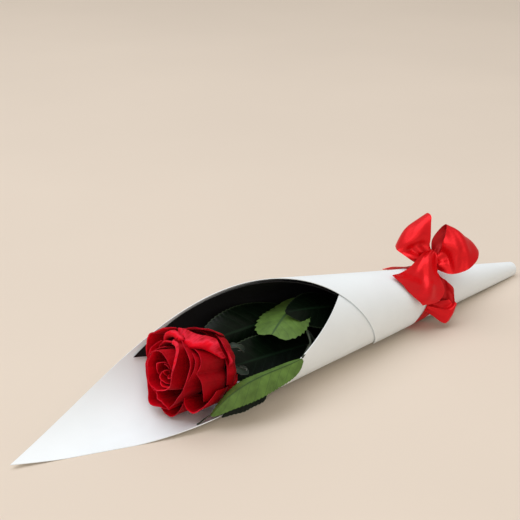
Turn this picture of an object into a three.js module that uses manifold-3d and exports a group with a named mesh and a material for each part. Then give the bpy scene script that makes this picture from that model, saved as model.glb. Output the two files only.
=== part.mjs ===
// A single red rose on its leafy stem, lying in a rolled paper cone with a black inner sheet,
// tied with a satin ribbon bow. Millimetres, +Z up, narrow end towards +X, open mouth towards -X.
import * as THREE from 'three';
import { mergeVertices } from 'three/addons/utils/BufferGeometryUtils.js';
import Module from 'manifold-3d';

const wasm = await Module();
wasm.setup();

// ---------- driving dimensions ----------

const CONE_HALF_ANGLE = 6.5; // degrees, of the rolled paper
const FLAT_HALF_ANGLE = 10; // degrees each side of the line that the cone rests on
const SECTOR = 10; // degrees between two straight generators of the rolled sheets

const TIP_SLANT = 49; // distance of the narrow end from the cone's apex, along the paper
const PAPER_THICKNESS = 0.7;
const LAYER_PITCH = 1.2; // growth of the roll's radius in one turn

// The corner that points out of the mouth, and the two straight cut edges that meet there.
const CORNER_SLANT = 540;
const CORNER_TURN = -21.1;
const FAR_EDGE_ANGLE = 22.5; // between the corner's generator and the edge over the top
const NEAR_EDGE_ANGLE = 19.9; // between the corner's generator and the edge on the near side
const OUTER_END_TURN = -322; // the roll's outer end, tucked under the near side
const INNER_END_TURN = 250; // the roll's inner end

const LINER_THICKNESS = 0.6;
const LINER_INSET = 1.95; // from the cone's outer face to the liner's outer face
const LINER_TIP_SLANT = 76;
const LINER_FAR_TURN = -300;
const LINER_NEAR_TURN = 45;
const LINER_EDGE_SETBACK = 0.3;
const LINER_CORNERS = { // corners of the liner's lower edge: turn in degrees, slant in mm
  mouth: [-70, 431],
  bend: [-60, 377],
  near: [45, 322],
};
const LINER_UPPER_EDGE_HEADING = 204.9; // degrees in the unrolled sheet

const BAND_SLANT = 183; // middle of the ribbon's band, halfway up the side of the cone
const BAND_LEAN = 10; // the band's middle lies this much nearer the mouth underneath
const BAND_WIDTH = 17;
const CINCH_DEPTH = 1.6; // how far the tied band presses the paper in
const CINCH_RAMP = 5;
const RIBBON_THICKNESS = 0.6;
const FIT_GAP = 0.35; // between pieces that rest on each other

const BOW_ORIGIN = [-167, -6, 49.2];
const BOW_AZIMUTH = 41.6; // the bow's face looks this far round from -Y towards -X
const BOW_TILT = 22.9; // and this far up

const BLOOM_BASE = [-389.5, 6.4, 27];
const BLOOM_AXIS = [-0.958, -0.115, 0.261];
const BLOOM_SETTLING = 0.94; // the bloom is a little less high than wide
const PETAL_THICKNESS = 0.8;

const STEM_RADIUS = 2.7;
const LEAF_THICKNESS = 0.7;
const LEAF_TEETH = 7;

// ---------- small helpers ----------

const rad = THREE.MathUtils.degToRad;
const vec = (x, y, z) => new THREE.Vector3(x, y, z);
const mix = (a, b, t) => a + (b - a) * t;

// A closed slab between two grids of points that face each other. Both faces are split into
// triangles alike. With `closed` the first and last columns are joined into a ring.
function slabGeometry(front, back, closed = false) {
  const columns = front.length;
  const rows = front[0].length;
  const positions = [...front.flat(), ...back.flat()].flatMap((p) => [p.x, p.y, p.z]);
  const at = (side, i, j) => side * columns * rows + (i % columns) * rows + j;
  const index = [];
  const quad = (a, b, c, d) => index.push(a, b, c, a, c, d);
  const spans = closed ? columns : columns - 1;
  for (let i = 0; i < spans; i++) {
    for (let j = 0; j < rows - 1; j++) {
      quad(at(0, i, j), at(0, i + 1, j), at(0, i + 1, j + 1), at(0, i, j + 1));
      index.push(at(1, i, j), at(1, i + 1, j + 1), at(1, i + 1, j));
      index.push(at(1, i, j), at(1, i, j + 1), at(1, i + 1, j + 1));
    }
    quad(at(0, i, 0), at(1, i, 0), at(1, i + 1, 0), at(0, i + 1, 0));
    const top = rows - 1;
    quad(at(0, i, top), at(0, i + 1, top), at(1, i + 1, top), at(1, i, top));
  }
  for (let j = 0; !closed && j < rows - 1; j++) {
    const end = columns - 1;
    quad(at(0, 0, j), at(0, 0, j + 1), at(1, 0, j + 1), at(1, 0, j));
    quad(at(0, end, j), at(1, end, j), at(1, end, j + 1), at(0, end, j + 1));
  }
  const geometry = new THREE.BufferGeometry();
  geometry.setAttribute('position', new THREE.Float32BufferAttribute(positions, 3));
  geometry.setIndex(index);
  return facingOut(geometry);
}

function signedVolume(geometry) {
  const p = geometry.getAttribute('position');
  const corner = [vec(), vec(), vec()];
  let volume = 0;
  for (let i = 0; i < geometry.index.count; i += 3) {
    corner.forEach((c, k) => c.fromBufferAttribute(p, geometry.index.getX(i + k)));
    volume += corner[0].dot(corner[1].clone().cross(corner[2])) / 6;
  }
  return volume;
}

function facingOut(geometry) {
  if (signedVolume(geometry) < 0) {
    const a = geometry.index.array;
    for (let i = 0; i < a.length; i += 3) [a[i + 1], a[i + 2]] = [a[i + 2], a[i + 1]];
  }
  return geometry;
}

// The two faces of a thin sheet that follows a grid of points, half the thickness to each side.
function thicken(grid, thickness, closed = false) {
  const columns = grid.length;
  const rows = grid[0].length;
  const column = (i) => (closed ? (i + columns) % columns : Math.min(Math.max(i, 0), columns - 1));
  const row = (j) => Math.min(Math.max(j, 0), rows - 1);
  const faces = [1, -1].map((side) => grid.map((line, i) => line.map((point, j) => {
    const along = grid[column(i + 1)][j].clone().sub(grid[column(i - 1)][j]);
    const across = grid[i][row(j + 1)].clone().sub(grid[i][row(j - 1)]);
    const normal = along.cross(across).normalize();
    return point.clone().addScaledVector(normal, side * thickness / 2);
  })));
  return slabGeometry(faces[0], faces[1], closed);
}

function solid(geometry) {
  const bare = geometry.clone();
  bare.deleteAttribute('normal');
  bare.deleteAttribute('uv');
  const merged = mergeVertices(bare, 1e-4);
  return new wasm.Manifold(new wasm.Mesh({
    numProp: 3,
    vertProperties: merged.getAttribute('position').array,
    triVerts: new Uint32Array(merged.index.array),
  }));
}

// Pieces that grow from one another become one body; scraps cut loose by the join are dropped.
function fuse(geometries) {
  const joined = geometries.map(solid).reduce((all, next) => all.add(next));
  const parts = joined.decompose().sort((a, b) => b.volume() - a.volume());
  const mesh = parts[0].getMesh();
  const geometry = new THREE.BufferGeometry();
  geometry.setAttribute('position', new THREE.BufferAttribute(mesh.vertProperties, 3));
  geometry.setIndex(new THREE.BufferAttribute(mesh.triVerts, 1));
  return geometry;
}

function makeMesh(name, geometry, colour, roughness) {
  const material = new THREE.MeshStandardMaterial({ color: colour, roughness, metalness: 0 });
  const mesh = new THREE.Mesh(geometry, material);
  mesh.name = name;
  return mesh;
}

// A round-ish rod along a smooth curve through the points.
function rod(points, radius, sides, steps) {
  const section = new THREE.Shape();
  for (let k = 0; k < sides; k++) {
    const angle = 2 * Math.PI * (k + 0.5) / sides;
    const [x, y] = [radius * Math.cos(angle), radius * Math.sin(angle)];
    if (k === 0) section.moveTo(x, y); else section.lineTo(x, y);
  }
  section.closePath();
  const path = new THREE.CatmullRomCurve3(points.map((p) => vec(...p)));
  return new THREE.ExtrudeGeometry(section, { steps, bevelEnabled: false, extrudePath: path });
}

// ---------- the rolled cone ----------

// The cone lies on a flat strip, so its axis tilts a little less than its half angle.
const alpha = rad(CONE_HALF_ANGLE);
const axisTilt = Math.atan(Math.tan(alpha) * Math.cos(rad(FLAT_HALF_ANGLE)));
const coneAxis = vec(-Math.cos(axisTilt), 0, Math.sin(axisTilt));
const coneDown = vec(-Math.sin(axisTilt), 0, -Math.cos(axisTilt));
const coneNear = vec(0, -1, 0);

// The direction out of the cone's wall at a turn, counted from underneath towards the near side.
function outward(turn) {
  return coneDown.clone().multiplyScalar(Math.cos(rad(turn)))
    .addScaledVector(coneNear, Math.sin(rad(turn)));
}

// A point of the cone at a slant distance from its apex, moved out by some millimetres.
function conePoint(slant, turn, out) {
  return coneAxis.clone().multiplyScalar(slant * Math.cos(alpha))
    .addScaledVector(outward(turn), slant * Math.sin(alpha) + out);
}

// The roll grows away from the flat strip: outwards over the top, inwards on the near side.
function layerOffset(turn) {
  const past = Math.max(Math.abs(turn) - FLAT_HALF_ANGLE, 0);
  return -Math.sign(turn) * LAYER_PITCH * past / (360 - 2 * FLAT_HALF_ANGLE);
}

// Slant of a straight cut edge at a turn: a line in the unrolled sheet through the mouth corner.
function cutEdge(turn, edgeAngle) {
  const swept = rad(Math.abs(turn - CORNER_TURN) * Math.sin(alpha));
  const edge = rad(edgeAngle);
  return CORNER_SLANT * Math.sin(edge) / Math.sin(edge + swept);
}

const sheetEdge = (turn) => cutEdge(turn, turn < CORNER_TURN ? FAR_EDGE_ANGLE : NEAR_EDGE_ANGLE);

const bandSlant = (turn) => BAND_SLANT + BAND_LEAN * Math.cos(rad(turn));

// Rows along a generator: straight paper with a shallow waist under the ribbon's band.
function generatorRows(turn, start, end) {
  const middle = bandSlant(turn);
  const half = BAND_WIDTH / 2 + 1;
  return [
    [start, 0],
    [middle - half - CINCH_RAMP, 0],
    [middle - half, CINCH_DEPTH],
    [middle + half, CINCH_DEPTH],
    [middle + half + CINCH_RAMP, 0],
    [end, 0],
  ];
}

// Generators between two turns. None runs down the middle of the flat strip.
function generatorTurns(from, to, extra = []) {
  const turns = [from, to, ...extra];
  for (let turn = Math.ceil(from / SECTOR) * SECTOR; turn <= to; turn += SECTOR) {
    if (turn % 360 !== 0) turns.push(turn);
  }
  return [...new Set(turns)].sort((a, b) => a - b);
}

function rolledSheet(turns, start, edge, offset, thickness) {
  const face = (depth) => turns.map((turn) => (
    generatorRows(turn, start, edge(turn))
      .map(([slant, cinch]) => conePoint(slant, turn, offset(turn) - cinch - depth))
  ));
  return slabGeometry(face(0), face(thickness));
}

function outerWrap() {
  const turns = generatorTurns(OUTER_END_TURN, INNER_END_TURN, [CORNER_TURN]);
  const sheet = rolledSheet(turns, TIP_SLANT, sheetEdge, layerOffset, PAPER_THICKNESS);
  return makeMesh('outer_wrap', sheet, '#f1f0ee', 0.62);
}

// Slant at which the straight line between two points of the unrolled sheet crosses a turn.
function lineSlant(turn, [turnA, slantA], [turnB, slantB]) {
  const [a, b] = [rad(turnA * Math.sin(alpha)), rad(turnB * Math.sin(alpha))];
  const at = rad(turn * Math.sin(alpha));
  return slantA * slantB * Math.sin(b - a)
    / (slantA * Math.sin(at - a) + slantB * Math.sin(b - at));
}

function linerEdge(turn) {
  const { mouth, bend, near } = LINER_CORNERS;
  if (turn > bend[0]) return lineSlant(turn, bend, near);
  if (turn > mouth[0]) return lineSlant(turn, mouth, bend);
  const from = rad(mouth[0] * Math.sin(alpha));
  const heading = rad(LINER_UPPER_EDGE_HEADING);
  const at = rad(turn * Math.sin(alpha));
  const upper = mouth[1] * Math.sin(heading - from) / Math.sin(heading - at);
  return Math.min(upper, sheetEdge(turn) - LINER_EDGE_SETBACK);
}

function liner() {
  const turns = generatorTurns(LINER_FAR_TURN, LINER_NEAR_TURN);
  const sheet = rolledSheet(turns, LINER_TIP_SLANT, linerEdge, () => -LINER_INSET, LINER_THICKNESS);
  return makeMesh('liner', sheet, '#141416', 0.7);
}

// ---------- the ribbon ----------

// Extra radius of the band where it rides over the sheet's outer end, by turn.
const BAND_RIDE = [[-10, 0.02], [12, 0.5], [38, 1.2], [180, 0.75], [350, 0.02]];

function bandRide(turn) {
  const next = BAND_RIDE.findIndex(([at]) => at >= turn);
  const [[a, low], [b, high]] = [BAND_RIDE[Math.max(next - 1, 0)], BAND_RIDE[next]];
  return b === a ? high : mix(low, high, (turn - a) / (b - a));
}

function bandRing() {
  const turns = generatorTurns(-10, 340);
  const face = (height) => turns.map((turn) => [-1, 1].map((side) => {
    const slant = bandSlant(turn) + side * BAND_WIDTH / 2;
    return conePoint(slant, turn, bandRide(turn) + FIT_GAP + height - CINCH_DEPTH);
  }));
  return slabGeometry(face(RIBBON_THICKNESS), face(0), true);
}

// The bow's own frame: across to the right, up, and out of the bow's face.
const bowOrigin = vec(...BOW_ORIGIN);
const [azimuth, tilt] = [rad(BOW_AZIMUTH), rad(BOW_TILT)];
const bowAcross = vec(Math.cos(azimuth), -Math.sin(azimuth), 0);
const bowOut = vec(-Math.sin(azimuth) * Math.cos(tilt), -Math.cos(azimuth) * Math.cos(tilt),
  Math.sin(tilt));
const bowUp = bowOut.clone().cross(bowAcross);

const bowPoint = ([across, up, out]) => bowOrigin.clone()
  .addScaledVector(bowAcross, across).addScaledVector(bowUp, up).addScaledVector(bowOut, out);

// Each length of ribbon runs between its two edges; both edges pass through chosen points,
// [across, up, out] in the bow's frame. The middle of a run may belly out.
const RIBBON_RUNS = {
  left_loop: {
    upper: [[0, 3, 3], [-1.5, 15, 8], [-5.5, 30, 8], [-5, 36, 3], [0.5, 34, -3], [-0.5, 18, -6],
      [-1, 4, -3]],
    lower: [[-3, -6, 3], [-14, -3, 9], [-25.5, 5.5, 9], [-28.5, 9.5, 3], [-26, 11.5, -5],
      [-13, 6, -7], [-3, -2, -3]],
    steps: 16,
  },
  right_loop: {
    upper: [[2, 3, 3], [7.5, 14, 9], [11.5, 23.5, 8], [13, 27, 2], [9.5, 25, -5], [2.5, 16, -7],
      [0, 4, -3]],
    lower: [[2, -8, 3], [14, -12.5, 10], [26.5, -9.5, 11], [34.5, 0, 7], [35, 8.5, -1],
      [20, 4, -8], [2, -4, -3]],
    steps: 16,
  },
  front_tail: {
    upper: [[-5, 4, 3], [-18.5, -7.5, 13.5], [-27.5, -9, 23], [-36.5, -12, 37.5]],
    lower: [[2, -7, 2], [8.5, -23, 6.5], [0, -31, 18], [-14, -34.5, 30]],
    steps: 8,
    belly: 3.5,
  },
  side_tail: {
    upper: [[1, -6, 2], [6, -15, 1], [10.5, -19, -0.5], [15, -23, -1], [17.8, -29, 0.5],
      [13, -31.5, 6], [6, -34, 11]],
    lower: [[-3, -8, 2], [0, -26, 9], [8, -37, 6.5], [14.5, -41, 2], [16.2, -42.5, 3],
      [9.5, -51, 5], [-0.8, -45, 12]],
    steps: 14,
    belly: 1,
  },
  back_tail: {
    upper: [[-3, -3, -1], [-14, -5.2, -5], [-27, -6, -8.5], [-39, -7.6, -12]],
    lower: [[2, -3, -8], [-6, -6.5, -18], [-18, -8.5, -22], [-29, -10.5, -26]],
    steps: 6,
  },
};
const RIBBON_COLUMNS = 3;

function ribbonRun({ upper, lower, steps, belly = 0 }) {
  const edges = [upper, lower].map((edge) => (
    new THREE.CatmullRomCurve3(edge.map(bowPoint), false, 'centripetal')));
  const grid = Array.from({ length: steps + 1 }, (_, i) => {
    const [a, b] = edges.map((edge) => edge.getPoint(i / steps));
    return Array.from({ length: RIBBON_COLUMNS }, (__, j) => {
      const across = j / (RIBBON_COLUMNS - 1);
      const swell = belly * Math.sin(Math.PI * across) * Math.sin(Math.PI * i / steps / 1.4);
      return a.clone().lerp(b, across).addScaledVector(bowOut, swell);
    });
  });
  return thicken(grid, RIBBON_THICKNESS);
}

const KNOT_SIZE = [8, 10.6, 6.5]; // half sizes: across, up, out

function knot() {
  const ball = new THREE.IcosahedronGeometry(1, 2);
  const frame = new THREE.Matrix4().makeBasis(bowAcross, bowUp, bowOut);
  ball.scale(...KNOT_SIZE).applyMatrix4(frame);
  ball.translate(...bowPoint([-0.5, -2, 0]));
  ball.deleteAttribute('normal');
  ball.deleteAttribute('uv');
  return mergeVertices(ball, 1e-4);
}

function ribbon() {
  const runs = Object.values(RIBBON_RUNS).map(ribbonRun);
  return makeMesh('ribbon', fuse([bandRing(), knot(), ...runs]), '#d4202c', 0.35);
}

// ---------- the bloom ----------

// Rings of petals from the heart outwards. A petal's side view is a cubic curve through four
// control points [radius, height]; width is in mm, first is the direction of the ring's first
// petal, and curl is how far the rim rolls back.
const PETAL_RINGS = [
  { count: 3, first: 20, width: 16, curl: 0, side: [[3, 14], [8.5, 14], [7.5, 34], [3.2, 48.5]] },
  { count: 3, first: 75, width: 24, curl: 0, side: [[4, 11], [13.5, 10], [12, 34], [7, 49.5]] },
  { count: 4, first: 10, width: 29, curl: 0.6, side: [[5, 8], [19.5, 6], [15.5, 33], [11, 48]] },
  { count: 5, first: 40, width: 33, curl: 2, side: [[5.5, 5], [26, 1], [20.5, 26], [17, 41]] },
  { count: 5, first: 5, width: 40, curl: 3, side: [[6, 3], [32.5, -2], [24, 20], [23, 36]] },
  { count: 6, first: 30, width: 40, curl: 4, side: [[6, 1], [35, -4], [28.5, 13], [27.5, 27]] },
];
const PETAL_COLUMNS = 6;
const PETAL_ROWS = 5;
const PETAL_LEAN = 1.2; // one side of a petal lies under its neighbour, the other over it
const HEART_PROFILE = [[0, 0.3], [7, 0.3], [8.5, 5], [7, 15], [4, 26], [0, 30]];

function cubic([a, b, c, d], t) {
  const s = 1 - t;
  return [0, 1].map((k) => (
    s ** 3 * a[k] + 3 * s * s * t * b[k] + 3 * s * t * t * c[k] + t ** 3 * d[k]));
}

// A petal is narrow at its foot, widest past the middle and rounded at its rim.
const petalBreadth = (v) => 0.42 + 0.58 * Math.sin(Math.PI * Math.min(v * 0.78, 0.62));

function petal(ring, number) {
  const direction = ring.first + number * 360 / ring.count;
  const columns = Array.from({ length: PETAL_COLUMNS + 1 }, (_, i) => 2 * i / PETAL_COLUMNS - 1);
  const grid = columns.map((u) => Array.from({ length: PETAL_ROWS + 1 }, (_, j) => {
    const v = j / PETAL_ROWS * (1 - 0.16 * Math.abs(u) ** 2.4);
    const [radius, height] = cubic(ring.side, v);
    const rolled = Math.max((v - 0.72) / 0.28, 0) ** 2;
    const spread = Math.min(ring.width / 2 * petalBreadth(v) / radius, 1.35);
    const angle = rad(direction) + u * spread;
    const r = radius + ring.curl * rolled + PETAL_LEAN * u * Math.min(v * 3, 1);
    return vec(r * Math.cos(angle), r * Math.sin(angle), height - 0.5 * ring.curl * rolled);
  }));
  return thicken(grid, PETAL_THICKNESS);
}

function heart() {
  const profile = HEART_PROFILE.map(([r, z]) => new THREE.Vector2(r, z));
  return new THREE.LatheGeometry(profile, 10).rotateX(Math.PI / 2);
}

function bloom() {
  const petals = PETAL_RINGS.flatMap((ring) => (
    Array.from({ length: ring.count }, (_, number) => petal(ring, number))));
  const mesh = makeMesh('bloom', fuse([heart(), ...petals]), '#b00a20', 0.8);
  placeBloom(mesh);
  return mesh;
}

// The bloom's own +Z is its axis and its +Y leans up, so its +X looks to the near side.
const bloomAxis = vec(...BLOOM_AXIS).normalize();
const bloomUp = vec(0, 0, 1).addScaledVector(bloomAxis, -bloomAxis.z).normalize();
const bloomFrame = new THREE.Matrix4()
  .makeBasis(bloomUp.clone().cross(bloomAxis), bloomUp, bloomAxis)
  .setPosition(...BLOOM_BASE);

function placeBloom(mesh) {
  bloomFrame.decompose(mesh.position, mesh.quaternion, mesh.scale);
  mesh.scale.y = BLOOM_SETTLING;
}

const bloomPoint = (x, y, z) => vec(x, y, z).applyMatrix4(bloomFrame).toArray();

// ---------- the leafy stem ----------

const STEM_ROUTE = [bloomPoint(0, 0, -3), bloomPoint(0, 0.5, -14), [-350, 2, 15.5], [-300, 0, 8],
  [-250, 0, 6.1], [-200, 0, 7.2], [-150, 0, 7.2], [-90, 0, 6.2], [-57, 0, 5.6]];
const CALYX_PROFILE = [[0, -9], [3.4, -8.5], [5.6, -5], [6, -2.5], [4.6, -0.05], [0, -0.05]];
const SEPAL_COUNT = 5;
const SEPAL_LENGTH = 24;
const THORNS = [[-215, 60], [-172, -70], [-128, 40], [-262, 10]]; // [x, lean in degrees]
const THORN_LENGTH = 5;

// Leaflets: foot and tip of the midrib, the way the blade faces, greatest width, how far the
// midrib arches, and how far the two sides droop.
const LEAFLETS = [
  { foot: [-337, -33.2, 39.6], tip: [-425, -28.5, 12], face: [0.15, 0.15, 1], width: 27, arch: 2.4,
    droop: 0.45 },
  { foot: [-352, -26.4, 31], tip: [-420, -29.8, 11], face: [0.15, -0.1, 1], width: 16.8, arch: 2,
    droop: 0.35 },
  { foot: [-296, 19, 34], tip: [-375, 26, 27], face: [-0.2, -0.85, 0.5], width: 34, arch: 3,
    droop: 0.2 },
  { foot: [-300, 6, 14], tip: [-364, 2, 26], face: [-0.4, -0.5, 0.8], width: 36, arch: 2,
    droop: 0.15 },
  { foot: [-302, 13, 42], tip: [-344, -9, 39], face: [-0.1, -0.1, 1], width: 38, arch: 2,
    droop: 0.12 },
  { foot: [-268, 2, 40], tip: [-320, 0, 51], face: [-0.3, -0.6, 0.8], width: 32, arch: 2,
    droop: 0.15 },
];
const STALKS = [
  { route: [[-262, 0, 7], [-272, -14, 28], [-296, -24, 44], [-326, -31.6, 44.4], [-341, -33, 39]],
    radius: 1.1 },
  { route: [[-262, 0, 7], [-276, 9, 22], [-292, 17, 32], [-303, 19.7, 33.6]], radius: 1.1 },
  { route: [[-250, 0, 7], [-262, 4, 24], [-286, 11, 39], [-306, 11, 42]], radius: 1.1 },
  { route: [[-276, 0, 7], [-290, 4, 11], [-304, 6, 15]], radius: 1.1 },
  { route: [[-236, 0, 7], [-248, 0, 26], [-262, 2, 38], [-273, 2, 41]], radius: 1.1 },
  { route: [[-312, -28, 44.5], [-334, -28.4, 37], [-357, -26.6, 30.6]], radius: 0.9 },
];

const leafBreadth = (t) => t ** 0.55 * (1 - t) ** 0.8 / 0.4015;
const LEAF_LINES = [-1, -0.5, 0, 0.5, 1]; // across the blade, edge to edge

// Sharp teeth point forward: each tooth adds a notch station and a tip station.
function leafBlade({ foot, tip, face, width, arch, droop }) {
  const [from, to] = [vec(...foot), vec(...tip)];
  const along = to.clone().sub(from);
  const across = along.clone().cross(vec(...face)).normalize();
  const normal = across.clone().cross(along).normalize();
  const stations = 2 * LEAF_TEETH + 1;
  const grid = Array.from({ length: stations }, (_, k) => {
    const t = mix(0.01, 0.995, k / (stations - 1));
    const tooth = k % 2 === 1;
    const half = Math.max(width / 2 * leafBreadth(t) * (tooth ? 1.05 : 0.93), 0.45);
    return LEAF_LINES.map((s) => {
      const lead = Math.abs(s) === 1 && tooth ? 0.35 / stations : 0;
      return from.clone().addScaledVector(along, t + lead)
        .addScaledVector(normal, arch * 4 * t * (1 - t) - droop * half * s * s)
        .addScaledVector(across, s * half);
    });
  });
  return thicken(grid, LEAF_THICKNESS);
}

function calyx() {
  const cup = new THREE.LatheGeometry(CALYX_PROFILE.map(([r, z]) => new THREE.Vector2(r, z)), 10);
  cup.rotateX(Math.PI / 2); // the profile's height runs along the bloom's own axis
  return cup.applyMatrix4(bloomFrame);
}

// Narrow sepals that leave the cup's rim and curl back towards the stem.
function sepal(number) {
  const angle = rad(number * 360 / SEPAL_COUNT + 20);
  const radial = (r, z) => vec(...bloomPoint(r * Math.cos(angle), r * Math.sin(angle), z));
  const side = vec(...bloomPoint(-Math.sin(angle), Math.cos(angle), 0)).sub(vec(...bloomPoint(0, 0, 0)));
  const steps = 7;
  const grid = Array.from({ length: steps + 1 }, (_, k) => {
    const t = k / steps;
    const spine = radial(3.5 + 13 * Math.sin(t * 1.9), -3.5 - SEPAL_LENGTH * 0.75 * t * t - 2 * t);
    const half = Math.max(3 * (1 - t) ** 0.7 * (k % 2 ? 1 : 0.75), 0.4);
    return [-1, 0, 1].map((s) => spine.clone().addScaledVector(side, s * half));
  });
  return thicken(grid, LEAF_THICKNESS);
}

function thorn(stem, [x, lean]) {
  const at = stem.getPoints(200).reduce((best, p) => (
    Math.abs(p.x - x) < Math.abs(best.x - x) ? p : best));
  const spike = new THREE.ConeGeometry(1.5, THORN_LENGTH, 5);
  spike.translate(0, STEM_RADIUS + THORN_LENGTH / 2 - 1.2, 0);
  spike.rotateX(Math.PI / 2).rotateX(rad(lean)).translate(at.x, at.y, at.z);
  return spike;
}

function leafyStem() {
  const stemCurve = new THREE.CatmullRomCurve3(STEM_ROUTE.map((p) => vec(...p)));
  const pieces = [rod(STEM_ROUTE, STEM_RADIUS, 8, 28), calyx()];
  for (let number = 0; number < SEPAL_COUNT; number++) pieces.push(sepal(number));
  STALKS.forEach(({ route, radius }) => pieces.push(rod(route, radius, 6, 9)));
  LEAFLETS.forEach((leaflet) => pieces.push(leafBlade(leaflet)));
  THORNS.forEach((place) => pieces.push(thorn(stemCurve, place)));
  return makeMesh('leafy_stem', fuse(pieces), '#3d6a2c', 0.45);
}

// ---------- the whole ----------

const assembly = new THREE.Group();
assembly.add(outerWrap(), liner(), ribbon(), bloom(), leafyStem());

// The origin is at the bottom centre of the whole.
const box = new THREE.Box3().setFromObject(assembly, true);
const centre = box.getCenter(vec());
assembly.position.set(-centre.x, -centre.y, -box.min.z);

export default assembly;
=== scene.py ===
"""A single red rose on its leafy stem, lying in a rolled paper cone with a black inner sheet,
tied near the narrow end with a satin ribbon bow.

Shapes are worked out in millimetres from the cone's apex: the cone points its narrow end to +X,
its open mouth to -X, and the bow faces -Y. Everything is moved into the frame when it is made.
"""

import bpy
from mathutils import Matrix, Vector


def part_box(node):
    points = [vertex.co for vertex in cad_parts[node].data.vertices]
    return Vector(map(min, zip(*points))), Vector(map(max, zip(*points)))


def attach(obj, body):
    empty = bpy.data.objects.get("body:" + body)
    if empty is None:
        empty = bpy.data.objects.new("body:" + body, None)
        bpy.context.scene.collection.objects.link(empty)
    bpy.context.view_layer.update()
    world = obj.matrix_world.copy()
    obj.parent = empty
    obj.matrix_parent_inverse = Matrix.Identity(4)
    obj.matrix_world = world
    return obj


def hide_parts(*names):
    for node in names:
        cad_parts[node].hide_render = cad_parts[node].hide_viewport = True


bl_info = {
    "name": "Rose in a Paper Cone",
    "version": (1, 0, 0),
    "blender": (4, 5, 0),
    "location": "3D View > Sidebar > Rose",
    "description": "Builds a rose in a rolled paper cone with a satin ribbon bow",
    "category": "Object",
}

import math

import bpy
import numpy as np
from mathutils import Vector

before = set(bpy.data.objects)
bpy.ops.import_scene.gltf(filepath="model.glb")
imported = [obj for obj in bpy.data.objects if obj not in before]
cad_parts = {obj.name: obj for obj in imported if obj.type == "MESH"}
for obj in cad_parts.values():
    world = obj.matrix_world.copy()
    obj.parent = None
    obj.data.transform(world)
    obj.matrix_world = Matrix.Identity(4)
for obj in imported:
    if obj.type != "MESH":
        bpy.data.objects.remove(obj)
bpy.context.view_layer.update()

MM = 0.001
SHARP_ANGLE = math.radians(50)  # a fold steeper than this keeps a crisp edge

# ---------- the cone that everything lies in, in millimetres and degrees ----------

CONE_HALF_ANGLE = math.radians(6.5)  # between the cone's axis and its side
FLAT_HALF_TURN = 10.0  # half the strip that the cone rests on
CONE_TILT = math.atan(math.tan(CONE_HALF_ANGLE) * math.cos(math.radians(FLAT_HALF_TURN)))
CONE_AXIS = np.array([-math.cos(CONE_TILT), 0.0, math.sin(CONE_TILT)])
CONE_DOWN = np.array([-math.sin(CONE_TILT), 0.0, -math.cos(CONE_TILT)])
CONE_NEAR = np.array([0.0, -1.0, 0.0])

# Slant is the distance from the apex along the paper, turn the angle round the axis.
TIP_SLANT = 49.0
LAYER_PITCH = 1.2  # growth of the roll in one turn
CORNER_SLANT, CORNER_TURN = 540.0, -21.1  # the free corner of the sheet
FAR_EDGE_ANGLE, NEAR_EDGE_ANGLE = 22.5, 19.9  # of its two cuts, off the line to the apex
OUTER_END_TURN, INNER_END_TURN = -322.0, 250.0

LINER_INSET = 1.95  # under the white sheet's outer face
LINER_TIP_SLANT = 76.0
LINER_FAR_TURN, LINER_NEAR_TURN = -300.0, 45.0
LINER_EDGE_SETBACK = 0.3
LINER_MOUTH, LINER_BEND, LINER_NEAR = (-70.0, 431.0), (-60.0, 377.0), (45.0, 322.0)
LINER_UPPER_EDGE_HEADING = math.radians(204.9)
TURN_STEP = 3.0

BAND_SLANT, BAND_LEAN, BAND_WIDTH = 183.0, 10.0, 17.0
CINCH_DEPTH, CINCH_RAMP, CINCH_MARGIN = 1.6, 5.0, 1.0
BAND_RIDE = ([-10, 12, 38, 180, 350], [0.02, 0.5, 1.2, 0.75, 0.02])  # turn, extra radius


def smooth(t):
    """0 below 0, 1 above 1 and an S between them."""
    t = np.clip(t, 0.0, 1.0)
    return t * t * (3 - 2 * t)


def cone_point(slant, turn, out=0.0):
    """A point of the cone: turn counts from underneath towards the near side."""
    turn = np.radians(turn)
    away = np.multiply.outer(np.cos(turn), CONE_DOWN) + np.multiply.outer(np.sin(turn), CONE_NEAR)
    radius = np.asarray(slant * math.sin(CONE_HALF_ANGLE) + out)[..., None]
    along = np.asarray(slant * math.cos(CONE_HALF_ANGLE))[..., None]
    return along * CONE_AXIS + radius * away


def layer_offset(turn):
    """The roll grows outwards over the top and inwards on the near side."""
    past = np.maximum(np.abs(turn) - FLAT_HALF_TURN, 0)
    return -np.sign(turn) * LAYER_PITCH * past / (360 - 2 * FLAT_HALF_TURN)


def sheet_edge(turn):
    """Slant of the two straight cuts that meet at the mouth's corner."""
    swept = np.radians(np.abs(turn - CORNER_TURN) * math.sin(CONE_HALF_ANGLE))
    edge = np.radians(np.where(turn < CORNER_TURN, FAR_EDGE_ANGLE, NEAR_EDGE_ANGLE))
    return CORNER_SLANT * np.sin(edge) / np.sin(edge + swept)


def line_slant(turn, first, second):
    """Slant at which a straight line of the unrolled sheet crosses a turn."""
    to_flat = math.sin(CONE_HALF_ANGLE)
    at, a, b = (math.radians(v * to_flat) for v in (turn, first[0], second[0]))
    across = first[1] * math.sin(at - a) + second[1] * math.sin(b - at)
    return first[1] * second[1] * math.sin(b - a) / across


def liner_edge(turn):
    """Slant of the black sheet's edge, which stays a border's width inside the white one."""
    if turn > LINER_BEND[0]:
        return line_slant(turn, LINER_BEND, LINER_NEAR)
    if turn > LINER_MOUTH[0]:
        return line_slant(turn, LINER_MOUTH, LINER_BEND)
    start, at = (math.radians(v * math.sin(CONE_HALF_ANGLE)) for v in (LINER_MOUTH[0], turn))
    upper = LINER_MOUTH[1] * math.sin(LINER_UPPER_EDGE_HEADING - start)
    upper /= math.sin(LINER_UPPER_EDGE_HEADING - at)
    return min(upper, float(sheet_edge(turn)) - LINER_EDGE_SETBACK)


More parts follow.
